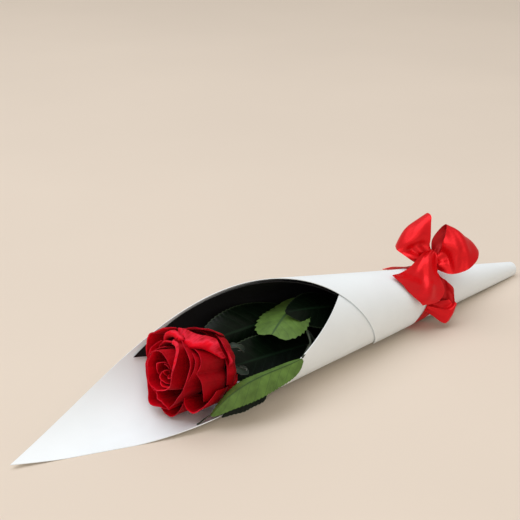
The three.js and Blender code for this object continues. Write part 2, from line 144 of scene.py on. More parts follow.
def band_slant(turn):
    """Slant of the tied ribbon's middle: it leans, so it lies further out underneath."""
    return BAND_SLANT + BAND_LEAN * np.cos(np.radians(turn))


# The wrap's tip reaches furthest along +X, so it gives the apex its place in the frame.
_tip_turns = np.arange(OUTER_END_TURN, INNER_END_TURN + 1, 2.0)
_tip = cone_point(TIP_SLANT, _tip_turns, layer_offset(_tip_turns))
_rim_turns = np.sort(np.append(np.arange(-320, INNER_END_TURN + 1, 10.0), CORNER_TURN))
_rim = cone_point(sheet_edge(_rim_turns), _rim_turns, layer_offset(_rim_turns))
_low, _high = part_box("outer_wrap")
APEX = Vector((_high.x - _tip[:, 0].max() * MM, _low.y - _rim[:, 1].min() * MM, 0.0))


# ---------- helpers ----------


def place(points):
    """Millimetres from the apex to metres in the frame."""
    return np.asarray(points, float) * MM + np.array(APEX)


def linear(colour):
    """An sRGB hex colour as linear RGBA."""
    parts = (int(colour[k:k + 2], 16) / 255 for k in (1, 3, 5))
    return (*(c / 12.92 if c <= 0.04045 else ((c + 0.055) / 1.055) ** 2.4 for c in parts), 1.0)


def unit(vector):
    """The same heading, one long."""
    vector = np.asarray(vector, float)
    return vector / np.linalg.norm(vector)


def dimmed(colour, share):
    """A linear colour with less light in it."""
    return (*(c * share for c in colour[:3]), 1.0)


def add(tree, kind, inputs=None, stops=(), **settings):
    """Adds a node. An input is a plain value, an output, or a node for its first output; stops
    are the positions and linear colours of a colour ramp."""
    node = tree.nodes.new(kind)
    for name, value in settings.items():
        setattr(node, name, value)
    for key, value in (inputs or {}).items():
        if isinstance(value, bpy.types.Node):
            value = value.outputs[0]
        if isinstance(value, bpy.types.NodeSocket):
            tree.links.new(value, node.inputs[key])
        else:
            node.inputs[key].default_value = value
    if stops:
        elements = node.color_ramp.elements
        elements[0].position, elements[0].color = stops[0]
        elements[1].position, elements[1].color = stops[-1]
        for position, colour in stops[1:-1]:
            elements.new(position).color = colour
    return node


def new_material(name):
    """An empty material and its node tree."""
    material = bpy.data.materials.new(name)
    material.use_nodes = True
    material.node_tree.nodes.clear()
    return material, material.node_tree


def end_material(tree, skin, relief=None):
    """Joins the surface shader and the output; relief is its height, strength and depth in m."""
    if relief:
        height, strength, depth = relief
        skin["Normal"] = add(tree, "ShaderNodeBump",
                             {"Height": height, "Strength": strength, "Distance": depth})
    add(tree, "ShaderNodeOutputMaterial",
        {"Surface": add(tree, "ShaderNodeBsdfPrincipled", skin)})


def normals_of(grid, closed=False):
    """Unit normals of a grid of points, columns by rows."""
    if closed:
        along = np.roll(grid, -1, 0) - np.roll(grid, 1, 0)
    else:
        along = np.gradient(grid, axis=0)
    across = np.gradient(grid, axis=1)
    normal = np.cross(along, across)
    return normal / np.maximum(np.linalg.norm(normal, axis=2, keepdims=True), 1e-9)


def slab(front, back, closed=False):
    """Vertices, faces, their corners' map and side of a closed sheet between two grids."""
    columns, rows = front.shape[:2]
    points = np.concatenate([front.reshape(-1, 3), back.reshape(-1, 3)])
    half = columns * rows
    spans = columns if closed else columns - 1
    faces, maps, sides = [], [], []

    def spot(i, j):
        return (i / max(spans, 1), j / (rows - 1))

    def face(corners, side):
        faces.append([half * s + (i % columns) * rows + j for s, i, j in corners])
        maps.append([spot(i, j) for s, i, j in corners])
        sides.append(side)

    for i in range(spans):
        for j in range(rows - 1):
            quad = [(i, j), (i + 1, j), (i + 1, j + 1), (i, j + 1)]
            face([(0, *c) for c in quad], 0)
            face([(1, *c) for c in reversed(quad)], 1)
        for j, turn in ((0, 1), (rows - 1, -1)):
            face([(0, i + 1, j), (0, i, j), (1, i, j), (1, i + 1, j)][::turn], 0)
    if not closed:
        for j in range(rows - 1):
            for i, turn in ((0, 1), (columns - 1, -1)):
                face([(0, i, j), (0, i, j + 1), (1, i, j + 1), (1, i, j)][::turn], 0)
    return points, faces, maps, sides


def sheets(grids, thickness, closed=False, ridge=None):
    """Joins thin sheets that follow grids of points; ridge thickens the back of each sheet."""
    points, faces, maps, sides = [], [], [], []
    for grid in grids:
        normal = normals_of(grid, closed)
        lift = thickness / 2 if ridge is None else thickness / 2 + ridge[..., None]
        made = slab(grid + normal * thickness / 2, grid - normal * lift, closed)
        offset = sum(len(p) for p in points)
        points.append(made[0])
        faces += [[v + offset for v in face] for face in made[1]]
        maps += made[2]
        sides += made[3]
    return np.concatenate(points), faces, maps, sides


def new_object(name, data):
    """An object in the scene's own collection."""
    made = bpy.data.objects.new(name, data)
    bpy.context.scene.collection.objects.link(made)
    return made


def make_piece(name, shape, materials, node):
    """Turns a sheet's shape into an object that stands for a CAD node."""
    points, faces, maps, sides = shape
    mesh = bpy.data.meshes.new(name)
    mesh.from_pydata(place(points).tolist(), [], faces)
    uv = mesh.uv_layers.new(name="UVMap")
    uv.data.foreach_set("uv", np.array([c for face in maps for c in face]).ravel())
    mesh.polygons.foreach_set("material_index", [min(s, len(materials) - 1) for s in sides])
    mesh.polygons.foreach_set("use_smooth", [True] * len(faces))
    for material in materials:
        mesh.materials.append(material)
    if signed_volume(mesh) < 0:
        mesh.flip_normals()
    mesh.set_sharp_from_angle(angle=SHARP_ANGLE)
    return finish_piece(new_object(name, mesh), node)


def signed_volume(mesh):
    """Six times the volume, below zero when the faces look inwards."""
    points = np.array([v.co for v in mesh.vertices])
    mesh.calc_loop_triangles()
    a, b, c = (points[[t.vertices[k] for t in mesh.loop_triangles]] for k in range(3))
    return float(np.einsum("ij,ij->i", a, np.cross(b, c)).sum())


def finish_piece(piece, node):
    """Hides the CAD node that a piece stands for and hangs the piece on the root body."""
    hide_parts(node)
    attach(piece, "root")
    return piece


def curve_through(points, count):
    """Points along a centripetal Catmull-Rom curve, evenly spaced in its parameter."""
    points = np.asarray(points, float)
    ends = np.array([2 * points[0] - points[1], 2 * points[-1] - points[-2]])
    p = np.concatenate([ends[:1], points, ends[1:]])
    step = np.maximum(np.linalg.norm(np.diff(p, axis=0), axis=1) ** 0.5, 1e-4)
    at = np.linspace(0, len(points) - 1, count)
    made = []
    for t in at:
        i = min(int(t), len(points) - 2)
        w = t - i
        a, b, c, d = p[i:i + 4]
        da, db, dc = step[i:i + 3]
        leave = ((b - a) / da - (c - a) / (da + db) + (c - b) / db) * db
        reach = ((c - b) / db - (d - b) / (db + dc) + (d - c) / dc) * db
        made.append((2 * b - 2 * c + leave + reach) * w ** 3
                    + (3 * c - 3 * b - 2 * leave - reach) * w ** 2 + leave * w + b)
    return np.array(made)


# ---------- settings ----------


def length_setting(name, description, millimetres):
    return bpy.props.FloatProperty(name=name, description=description,
                                   default=millimetres * MM, unit="LENGTH", min=0.0)


def colour_setting(name, description, colour):
    return bpy.props.FloatVectorProperty(name=name, description=description, size=4,
                                         default=linear(colour), subtype="COLOR", min=0.0, max=1.0)


class PaperSettings(bpy.types.PropertyGroup):
    """The rolled white sheet and the black sheet inside it."""

    outer_thickness: length_setting("Outer paper", "Thickness of the white sheet", 0.5)
    inner_thickness: length_setting("Inner paper", "Thickness of the black sheet", 0.35)
    pucker: length_setting("Pucker", "How far the paper crumples beside the ribbon", 0.55)
    outer_colour: colour_setting("Outer colour", "Colour of the white sheet", "#F0F9FF")
    inner_colour: colour_setting("Inner colour", "Colour of the black sheet", "#101013")


class RibbonSettings(bpy.types.PropertyGroup):
    """The satin ribbon."""

    thickness: length_setting("Thickness", "Thickness of the satin", 0.3)
    flat_width: length_setting("Width", "Width of the ribbon as it comes off the roll", 38)
    slack: bpy.props.FloatProperty(name="Slack", description="Share of the pleats and creases",
                                   default=1.0, min=0.0, max=1.5)
    colour: colour_setting("Colour", "Colour of the satin", "#E8141E")


class RoseSettings(bpy.types.PropertyGroup):
    """The bloom, its stem and its leaves."""

    petal_thickness: length_setting("Petal", "Thickness of a petal", 0.35)
    leaf_thickness: length_setting("Leaf", "Thickness of a leaf", 0.4)
    stem_radius: length_setting("Stem radius", "Radius of the stem", 2.7)
    petal_colour: colour_setting("Petal colour", "Colour of the petals", "#E6001E")
    leaf_colour: colour_setting("Leaf colour", "Colour of a leaf's upper face", "#081409")
    underleaf_colour: colour_setting("Underleaf colour", "Colour of a leaf's underside",
                                     "#5E8038")


class StageSettings(bpy.types.PropertyGroup):
    """The floor and the lights."""

    floor_colour: colour_setting("Floor", "Colour of the pale surface", "#DED3C6")
    key_power: bpy.props.FloatProperty(name="Key light", description="Power of the large lamp",
                                       default=55.5, min=0.0, unit="POWER")
    fill_power: bpy.props.FloatProperty(name="Fill light", description="Power of the fill lamp",
                                        default=13.0, min=0.0, unit="POWER")
    sky: bpy.props.FloatProperty(name="Sky", description="Strength of the even surrounding light",
                                 default=0.53, min=0.0)


# ---------- camera and stage ----------

EYE = (-806.7, -517.7, 389.1)  # millimetres from the apex
EYE_TURN, EYE_DIP = 41.56, 22.86  # degrees from +Y towards +X, and below level
LENS, SENSOR, CLIPPING = 75.0, 36.0, (0.01, 50.0)  # mm, mm and metres
FLOOR_HALF = 6.0  # metres, like the lamps' places and sizes
KEY_PLACE, KEY_SIZE, KEY_COLOUR = (-0.41, 0.48, 2.6), 3.0, "#F9FAFF"
FILL_PLACE, FILL_SIZE, FILL_COLOUR = (-1.5, -1.6, 1.3), 2.2, "#FFEEDC"
SKY_COLOUR = "#FAF2E6"


def look_at(thing, target):
    """Turns a camera or a lamp towards a point."""
    direction = (Vector(target) - thing.location).normalized()
    thing.rotation_euler = direction.to_track_quat("-Z", "Y").to_euler()


def make_camera():
    """The eye of the photograph, looking down on the cone from the mouth's near side."""
    data = bpy.data.cameras.new("photo_camera")
    data.lens, data.sensor_width = LENS, SENSOR
    data.clip_start, data.clip_end = CLIPPING
    camera = new_object("photo_camera", data)
    turn, dip = math.radians(EYE_TURN), math.radians(EYE_DIP)
    forward = Vector((math.sin(turn) * math.cos(dip), math.cos(turn) * math.cos(dip),
                      -math.sin(dip)))
    camera.location = place(EYE)
    look_at(camera, camera.location + forward)
    bpy.context.scene.camera = camera


def make_lamp(name, where, size, power, colour):
    """A square soft lamp that faces the middle of the part."""
    data = bpy.data.lights.new(name, "AREA")
    data.size, data.energy, data.color = size, power, linear(colour)[:3]
    lamp = new_object(name, data)
    lamp.location = where
    look_at(lamp, (0, 0, 0))


def painted_board(colour):
    """A matt painted board: one even tone with a trace of mottling, no gloss."""
    material, tree = new_material("painted_board")
    where = add(tree, "ShaderNodeTexCoord").outputs["Object"]
    cloud = add(tree, "ShaderNodeTexNoise", {"Vector": where, "Scale": 3.0, "Detail": 3.0})
    tone = add(tree, "ShaderNodeValToRGB", {"Fac": cloud},
               [(0.3, dimmed(colour, 0.97)), (0.7, colour)])
    end_material(tree, {"Base Color": tone, "Roughness": 0.75, "Specular IOR Level": 0.2})
    return material


def make_floor(colour):
    """The pale surface that the cone lies on, wide enough to fill every view."""
    mesh = bpy.data.meshes.new("floor")
    corners = [(-1, -1), (1, -1), (1, 1), (-1, 1)]
    mesh.from_pydata([(x * FLOOR_HALF, y * FLOOR_HALF, 0) for x, y in corners], [], [(0, 1, 2, 3)])
    mesh.materials.append(painted_board(colour))
    new_object("floor", mesh)


def make_sky(strength):
    """Even, slightly warm light from all round."""
    world = bpy.data.worlds.new("soft_studio")
    world.use_nodes = True
    background = world.node_tree.nodes["Background"]
    background.inputs["Color"].default_value = linear(SKY_COLOUR)
    background.inputs["Strength"].default_value = strength
    bpy.context.scene.world = world


class ROSE_OT_stage(bpy.types.Operator):
    """Makes the camera, the pale floor and the soft studio light."""

    bl_idname = "rose.make_stage"
    bl_label = "Stage"

    def execute(self, context):
        stage = context.scene.rose_stage
        make_camera()
        make_floor(tuple(stage.floor_colour))
        make_sky(stage.sky)
        make_lamp("key_lamp", KEY_PLACE, KEY_SIZE, stage.key_power, KEY_COLOUR)
        make_lamp("fill_lamp", FILL_PLACE, FILL_SIZE, stage.fill_power, FILL_COLOUR)
        context.scene.view_settings.view_transform = "Standard"
        return {"FINISHED"}


# ---------- the two rolled papers ----------

PUCKER_REACH, PUCKER_RISE = 14.0, 4.0  # mm along the cone
PUCKER_WAVES = ((7, 1.0, 0.8), (5, 0.6, 2.0))  # count round the cone, share, phase
FLOOR_CLEARANCE = (20, 40)  # degrees each side of the floor without creases, and their ramp
TIED_HALF = 45.0  # mm each side of the ribbon with closer rows
ROWS_TO_TIE, ROWS_TIED, ROWS_TO_EDGE = 6, 31, 22


def coated_card(name, colour):
    """Smooth coated card: white and even, with a soft gloss and faint fibres 0.6 mm apart."""
    material, tree = new_material(name)
    where = add(tree, "ShaderNodeTexCoord").outputs["Object"]
    cloud = add(tree, "ShaderNodeTexNoise", {"Vector": where, "Scale": 22.0, "Detail": 3.0})
    tone = add(tree, "ShaderNodeValToRGB", {"Fac": cloud},
               [(0.35, dimmed(colour, 0.965)), (0.65, colour)])
    fibres = add(tree, "ShaderNodeTexNoise",
                 {"Vector": where, "Scale": 1 / (0.6 * MM), "Detail": 5.0})
    end_material(tree, {"Base Color": tone, "Roughness": 0.5, "Specular IOR Level": 0.35},
                 (fibres, 0.12, 0.05 * MM))
    return material


def black_tissue(name, colour):
    """Thin dyed paper: nearly black, dull, with a slightly uneven surface."""
    material, tree = new_material(name)
    where = add(tree, "ShaderNodeTexCoord").outputs["Object"]
    cloud = add(tree, "ShaderNodeTexNoise", {"Vector": where, "Scale": 30.0, "Detail": 4.0})
    tone = add(tree, "ShaderNodeValToRGB", {"Fac": cloud},
               [(0.3, dimmed(colour, 0.7)), (0.7, colour)])
    pulp = add(tree, "ShaderNodeTexNoise",
               {"Vector": where, "Scale": 1 / (1.2 * MM), "Detail": 4.0})
    end_material(tree, {"Base Color": tone, "Roughness": 0.62, "Specular IOR Level": 0.3},
                 (pulp, 0.2, 0.1 * MM))
    return material


def cinch(slant, turn):
    """How far the tied ribbon presses the paper in."""
    beside = np.abs(slant - band_slant(turn)) - BAND_WIDTH / 2 - CINCH_MARGIN
    return CINCH_DEPTH * (1 - smooth(beside / CINCH_RAMP))


def puckers(slant, turn, depth):
    """Shallow creases that run out of the tied band, alike in every layer of the roll."""
    round_it = np.radians(turn)
    beside = slant - band_slant(turn)
    off_band = np.maximum(np.abs(beside) - BAND_WIDTH / 2 - CINCH_MARGIN, 0)
    wave = sum(share * np.sin(count * round_it + phase) for count, share, phase in PUCKER_WAVES)
    bare, ramp = FLOOR_CLEARANCE
    clear_of_floor = smooth((np.abs((turn + 180) % 360 - 180) - bare) / ramp)
    swell = smooth(off_band / PUCKER_RISE) * np.exp(-off_band / PUCKER_REACH)
    return depth * wave * swell * clear_of_floor


def rolled_grid(turns, start, edge, offset, depth):
    """A rolled sheet's middle surface, with closer rows where the ribbon ties it."""
    rows = []
    for turn in turns:
        tied = float(band_slant(turn))
        below, above = tied - TIED_HALF, tied + TIED_HALF
        slants = np.concatenate([np.linspace(start, below, ROWS_TO_TIE)[:-1],
                                 np.linspace(below, above, ROWS_TIED)[:-1],
                                 np.linspace(above, float(edge(turn)), ROWS_TO_EDGE)])
        out = offset(turn) - cinch(slants, turn) + puckers(slants, turn, depth)
        rows.append(cone_point(slants, np.full(len(slants), turn), out))
    return np.array(rows)


def even_turns(start, end, extra):
    """Turns an even step apart, with both ends and the turns where the edge has a corner."""
    inner = np.arange(math.ceil(start / TURN_STEP) * TURN_STEP, end, TURN_STEP)
    return np.unique(np.concatenate([[start, end], inner, extra]))


class ROSE_OT_paper(bpy.types.Operator):
    """Rolls the white sheet and the black sheet that lines it."""

    bl_idname = "rose.roll_paper"
    bl_label = "Rolled paper"

    def execute(self, context):
        paper = context.scene.rose_paper
        depth = paper.pucker / MM
        outer, inner = paper.outer_thickness / MM, paper.inner_thickness / MM
        turns = even_turns(OUTER_END_TURN, INNER_END_TURN, (CORNER_TURN,))
        middle = rolled_grid(turns, TIP_SLANT, sheet_edge,
                             lambda t: layer_offset(t) - outer / 2, depth)
        middle[..., 2] = np.maximum(middle[..., 2], outer / 2)  # it lies flat on the floor
        card = coated_card("white_card", tuple(paper.outer_colour))
        make_piece("paper_cone", sheets([middle], outer), [card], "outer_wrap")
        turns = even_turns(LINER_FAR_TURN, LINER_NEAR_TURN, (LINER_MOUTH[0], LINER_BEND[0]))
        middle = rolled_grid(turns, LINER_TIP_SLANT, liner_edge,
                             lambda t: -LINER_INSET - inner / 2, depth)
        tissue = black_tissue("black_tissue", tuple(paper.inner_colour))
        make_piece("paper_liner", sheets([middle], inner), [tissue], "liner")
        return {"FINISHED"}


# ---------- the satin ribbon ----------

BOW_ORIGIN = np.array([-167.0, -6.0, 49.2])
BOW_TURN, BOW_TILT = math.radians(41.6), math.radians(22.9)
BOW_ACROSS = np.array([math.cos(BOW_TURN), -math.sin(BOW_TURN), 0.0])
BOW_OUT = np.array([-math.sin(BOW_TURN) * math.cos(BOW_TILT),
                    -math.cos(BOW_TURN) * math.cos(BOW_TILT), math.sin(BOW_TILT)])
BOW_UP = np.cross(BOW_OUT, BOW_ACROSS)
RIBBON_ROWS = 26  # across the ribbon
BAND_GAP = 0.65  # from the paper to the band's middle
BAND_GATHERS, BAND_GATHER_DEPTH, BAND_SWAY = 1.3, 0.3, 0.4  # pleats drawn in by the tie
LOOSE_WAVE, LOOSE_COUNTS = 0.4, (1.3, 2.1)  # mm off the smooth shape; waves across and along
SWELL_SPAN = 1.2  # of a run's length, so that its far end still bulges
CREASE_REACH = 0.35  # share of the ribbon's length that a crease runs
CREASE_ASPECT = 0.6  # its width against its length

# Both edges of each length of ribbon pass through points [across, up, out] in the bow's frame.
# Pleats fold each length where it meets the knot: count, depth, reach, and whether both ends
# meet it. Bulge pushes the middle of the ribbon out. Creases are soft ridges and valleys:
# where they lie along and across the ribbon, their heading in degrees, half width and height.
RIBBON_RUNS = {
    "loop_left": {
        "upper": [[0, 3, 3], [-2.2, 15, 8], [-2, 29, 8], [-1.5, 35.2, 4], [-4.5, 37, -2],
                  [-4, 18, -6], [-1, 4, -3]],
        "lower": [[-3, -6, 3], [-14, -3, 9], [-24, 3.5, 9.5], [-29.5, 8.5, 4], [-28.5, 12.5, -4],
                  [-13, 6, -7], [-3, -2, -3]],
        "steps": 84, "bulge": [-2.5, 2.5, 2.5], "pleats": (2, 1.2, 0.18), "both": True,
        "phase": 0.3, "back_first": False,
        "creases": [(0.22, 0.42, 66, 0.06, -5.5), (0.33, 0.68, 62, 0.05, 2.6),
                    (0.13, 0.8, 30, 0.045, 3.0), (0.1, 0.62, 30, 0.05, -3.4)],
    },
    "loop_right": {
        "upper": [[2, 3, 3], [7.5, 14, 9], [10, 23.5, 8], [11, 28.5, 2], [7, 25, -5],
                  [1, 16, -7], [0, 4, -3]],
        "lower": [[2, -8, 3], [14, -12, 10], [27, -8, 11], [35, 0.5, 7], [36, 9, -1],
                  [20, 4, -8], [2, -4, -3]],
        "steps": 84, "bulge": [2.5, 3.0, 2.5], "pleats": (2, 1.4, 0.14), "both": True,
        "phase": 2.0, "back_first": True,
        "creases": [(0.12, 0.45, 80, 0.05, 4.6), (0.24, 0.3, 60, 0.06, -2.4),
                    (0.3, 0.75, 110, 0.05, 1.8), (0.4, 0.4, 100, 0.07, -1.2)],
    },
    "tail_front": {
        "upper": [[-1, 8.5, 6], [-9.5, 5, 12], [-20.5, -6.5, 15.5], [-28.5, -10.5, 24],
                  [-37, -12.5, 37.5]],
        "lower": [[3, 3, 5], [2.5, -10, 9.5], [8, -25, 12], [2, -33, 19], [-12.5, -36, 30]],
        "steps": 60, "bulge": [0, 0, 4.0], "pleats": (2, 0.5, 0.3), "both": False, "phase": 1.0,
        "back_first": False,
        "creases": [(0.2, 0.1, 5, 0.06, -2.6), (0.5, 0.42, 22, 0.07, -1.8),
                    (0.68, 0.66, 28, 0.07, 2.4), (0.85, 0.25, 15, 0.09, 1.6)],
    },
    "tail_side": {
        "upper": [[1, -6, 2], [6, -14, 6], [10.5, -17.5, 8], [15.5, -22, 7], [17.8, -29, 3],
                  [13, -32, 3], [6, -33, 6], [-3, -33, 8]],
        "lower": [[-3, -8, 2], [0, -24, 2], [6, -33, 0], [12, -38, -0.5], [16, -43.5, 3],
                  [9, -51, 8], [-1.5, -45, 12], [-11, -38.5, 12]],
        "steps": 72, "bulge": [0.5, 0, 1.2], "pleats": (2, 0.9, 0.2), "both": False,
        "phase": 0.0, "back_first": False,
        "creases": [(0.3, 0.4, 75, 0.06, 1.6), (0.62, 0.5, 70, 0.06, 1.6),
                    (0.78, 0.5, 15, 0.07, 2.2), (0.9, 0.4, 15, 0.06, -2.0)],
    },
    "tail_back": {
        "upper": [[-3, -3, -1], [-14, -5.2, -5], [-27, -6, -8.5], [-39, -7.6, -12]],
        "lower": [[2, -3, -8], [-6, -6.5, -18], [-18, -8.5, -22], [-29, -10.5, -26]],
        "steps": 36, "bulge": [0, 0, 0], "pleats": (2, 0.8, 0.25), "both": False, "phase": 0.5,
        "back_first": False, "creases": [],
    },
}
KNOT_CENTRE = [-0.5, -2.0, 0.0]  # in the bow's frame
KNOT_HALF = (6.4, 10.2, 5.6)
KNOT_STEPS, KNOT_BARREL = 48, 0.72
KNOT_CREASE, KNOT_CREASES, KNOT_SWAY = 0.45, 3.5, 1.2  # depth, half waves across, wander
KNOT_WAIST, KNOT_FLARE, KNOT_SQUASH = 0.86, 0.1, 0.94


def bow_point(points):
    """Points [across, up, out] of the bow as millimetres from the cone's apex."""
    points = np.atleast_2d(np.asarray(points, float))
    return BOW_ORIGIN + points @ np.array([BOW_ACROSS, BOW_UP, BOW_OUT])


def satin_weave(name, colour, metallic, roughness):
    """Woven satin: long bright threads along the ribbon give a soft, streaky gloss."""
    material, tree = new_material(name)
    weave = add(tree, "ShaderNodeTexCoord").outputs["UV"]
    stretched = add(tree, "ShaderNodeMapping", {"Vector": weave, "Scale": (14.0, 120.0, 1.0)})
    threads = add(tree, "ShaderNodeTexNoise", {"Vector": stretched, "Scale": 1.0, "Detail": 2.0})
    tone = add(tree, "ShaderNodeValToRGB", {"Fac": threads},
               [(0.25, dimmed(colour, 0.82)), (0.75, colour)])
    end_material(tree, {"Base Color": tone, "Metallic": metallic, "Roughness": roughness,
                        "Specular IOR Level": 0.3}, (threads, 0.18, 0.12 * MM))
    return material


def ribbon_grid(run, slack):
    """The middle surface of one length of ribbon, pleated where it enters the knot."""
    upper, lower = (curve_through(bow_point(run[edge]), run["steps"] + 1)
                    for edge in ("upper", "lower"))
    across = np.linspace(0, 1, RIBBON_ROWS)[None]
    along = np.linspace(0, 1, run["steps"] + 1)[:, None]
    grid = upper[:, None] + (lower - upper)[:, None] * across[..., None]
    swell = np.sin(np.pi * across) * np.sin(np.pi * np.minimum(along / SWELL_SPAN, 1))
    grid = grid + swell[..., None] * (bow_point(run["bulge"])[0] - BOW_ORIGIN)
    near_knot = np.minimum(along, 1 - along) if run["both"] else along
    count, depth, reach = run["pleats"]
    fade = np.exp(-(near_knot / reach) ** 2)
    lift = depth * fade * np.sin(2 * np.pi * count * across + run["phase"])
    wander = np.sin(2 * np.pi * (across * LOOSE_COUNTS[0] + along * LOOSE_COUNTS[1])
                    + run["phase"])
    lift = lift + LOOSE_WAVE * (1 - fade) * wander
    for at, aside, heading, breadth, height in run["creases"]:
        heading = math.radians(heading)
        ahead, beside = along - at, (across - aside) * CREASE_ASPECT
        off = ahead * math.sin(heading) - beside * math.cos(heading)
        on = ahead * math.cos(heading) + beside * math.sin(heading)
        lift = lift + height * np.exp(-(off / breadth) ** 2 - (on / CREASE_REACH) ** 2)
    return grid + slack * lift[..., None] * normals_of(grid)


def band_grid():
    """The ribbon's turn round the paper, gathered to less than half its width."""
    turns = np.arange(BAND_RIDE[0][0], BAND_RIDE[0][-1], TURN_STEP)
    sides = np.linspace(-1, 1, RIBBON_ROWS)
    ride = np.interp(turns, *BAND_RIDE)
    rows = []
    for turn, extra in zip(turns, ride):
        sway = BAND_SWAY * math.sin(math.radians(3 * turn))
        gather = BAND_GATHER_DEPTH * np.sin(2 * np.pi * BAND_GATHERS * sides + sway)
        out = extra + BAND_GAP - CINCH_DEPTH + gather * (1 - sides ** 4)
        rows.append(cone_point(float(band_slant(turn)) + sides * BAND_WIDTH / 2,
                               np.full(RIBBON_ROWS, turn), out))
    return np.array(rows)


def knot_grid():
    """The ribbon drawn over itself in a tight, creased loop."""
    rounds = np.linspace(0, 2 * np.pi, KNOT_STEPS + 1)[:-1]
    across = np.linspace(-1, 1, RIBBON_ROWS)
    half_across, half_up, half_out = KNOT_HALF
    rows = []
    for angle in rounds:
        sway = KNOT_SWAY * math.sin(2 * angle)
        crease = KNOT_CREASE * np.sin(KNOT_CREASES * np.pi * across + sway)
        barrel = np.sqrt(1 - KNOT_BARREL * across ** 2)
        flare = KNOT_WAIST + KNOT_FLARE * math.cos(angle)
        points = np.stack([across * half_across * flare,
                           (half_up * barrel + crease) * math.sin(angle) * KNOT_SQUASH,
                           (half_out * barrel + crease) * math.cos(angle)], axis=1)
        rows.append(bow_point(points + np.array(KNOT_CENTRE)))
    return np.array(rows)


class ROSE_OT_ribbon(bpy.types.Operator):
    """Ties the satin ribbon: its band, knot, loops and tails."""

    bl_idname = "rose.tie_ribbon"
    bl_label = "Satin ribbon"

    def execute(self, context):
        ribbon = context.scene.rose_ribbon
        colour = tuple(ribbon.colour)
        satin = satin_weave("red_satin_face", colour, metallic=0.45, roughness=0.33)
        # The back face is duller satin, and its colour is dimmed to 72% as painted shade on the
        # loops' insides.
        dull_shaded_back = satin_weave("red_satin_back", dimmed(colour, 0.72), metallic=0.3, roughness=0.5)
        lengths = {"ribbon_band": (band_grid(), [satin], "stretched", "paper_cone"),
                   "ribbon_knot": (knot_grid(), [satin], "gathered", "ribbon_band")}
        for name, run in RIBBON_RUNS.items():
            faces = [dull_shaded_back, satin] if run["back_first"] else [satin, dull_shaded_back]
            lengths["ribbon_" + name] = (ribbon_grid(run, ribbon.slack), faces, "folded",
                                         "ribbon_knot")
        for name, (grid, faces, held, rests_on) in lengths.items():
            closed = len(faces) == 1  # the band and the knot, which show only their face
            shape = sheets([grid], ribbon.thickness / MM, closed)
            piece = make_piece(name, shape, faces, "ribbon")
        return {"FINISHED"}


# ---------- the bloom ----------

BLOOM_BASE = np.array([-389.5, 6.4, 27.0])
BLOOM_AXIS = unit([-0.958, -0.115, 0.261])
BLOOM_UP = unit(np.array([0, 0, 1.0]) - BLOOM_AXIS * BLOOM_AXIS[2])
BLOOM_NEAR = np.cross(BLOOM_UP, BLOOM_AXIS)
BLOOM_SETTLING = 0.94  # it lies, so it is a little flatter than round
SEEDS_PER_LAYER = 40
PETAL_COLUMNS, PETAL_ROWS, ROLL_ROWS, LIP_ROWS = 36, 20, 6, 6
LIP_FOLDS, LIP_FAN, LIP_DROOP = 2.5, 0.16, 0.02
PETAL_FOOT = (4.5, 2.5)  # radius and height where a petal leaves the cup
RUFFLES = ((1.7, 0.2), (3.6, 0.14), (7.3, 0.07))  # waves along a rim: count and height
FLUTES = ((2.3, 0.45), (5.1, 0.22))  # hollows down a petal: count and depth
FULL_RADIUS = 26  # the rim radius at which ruffles and flutes have these sizes
RUFFLE_LIFT = 0.6  # of a ruffle's reach outwards
BELLY_FOLLOWS = ((0.35, 0.85), (0.1, 0.7))  # how much belly and neck go with the rim's own shape

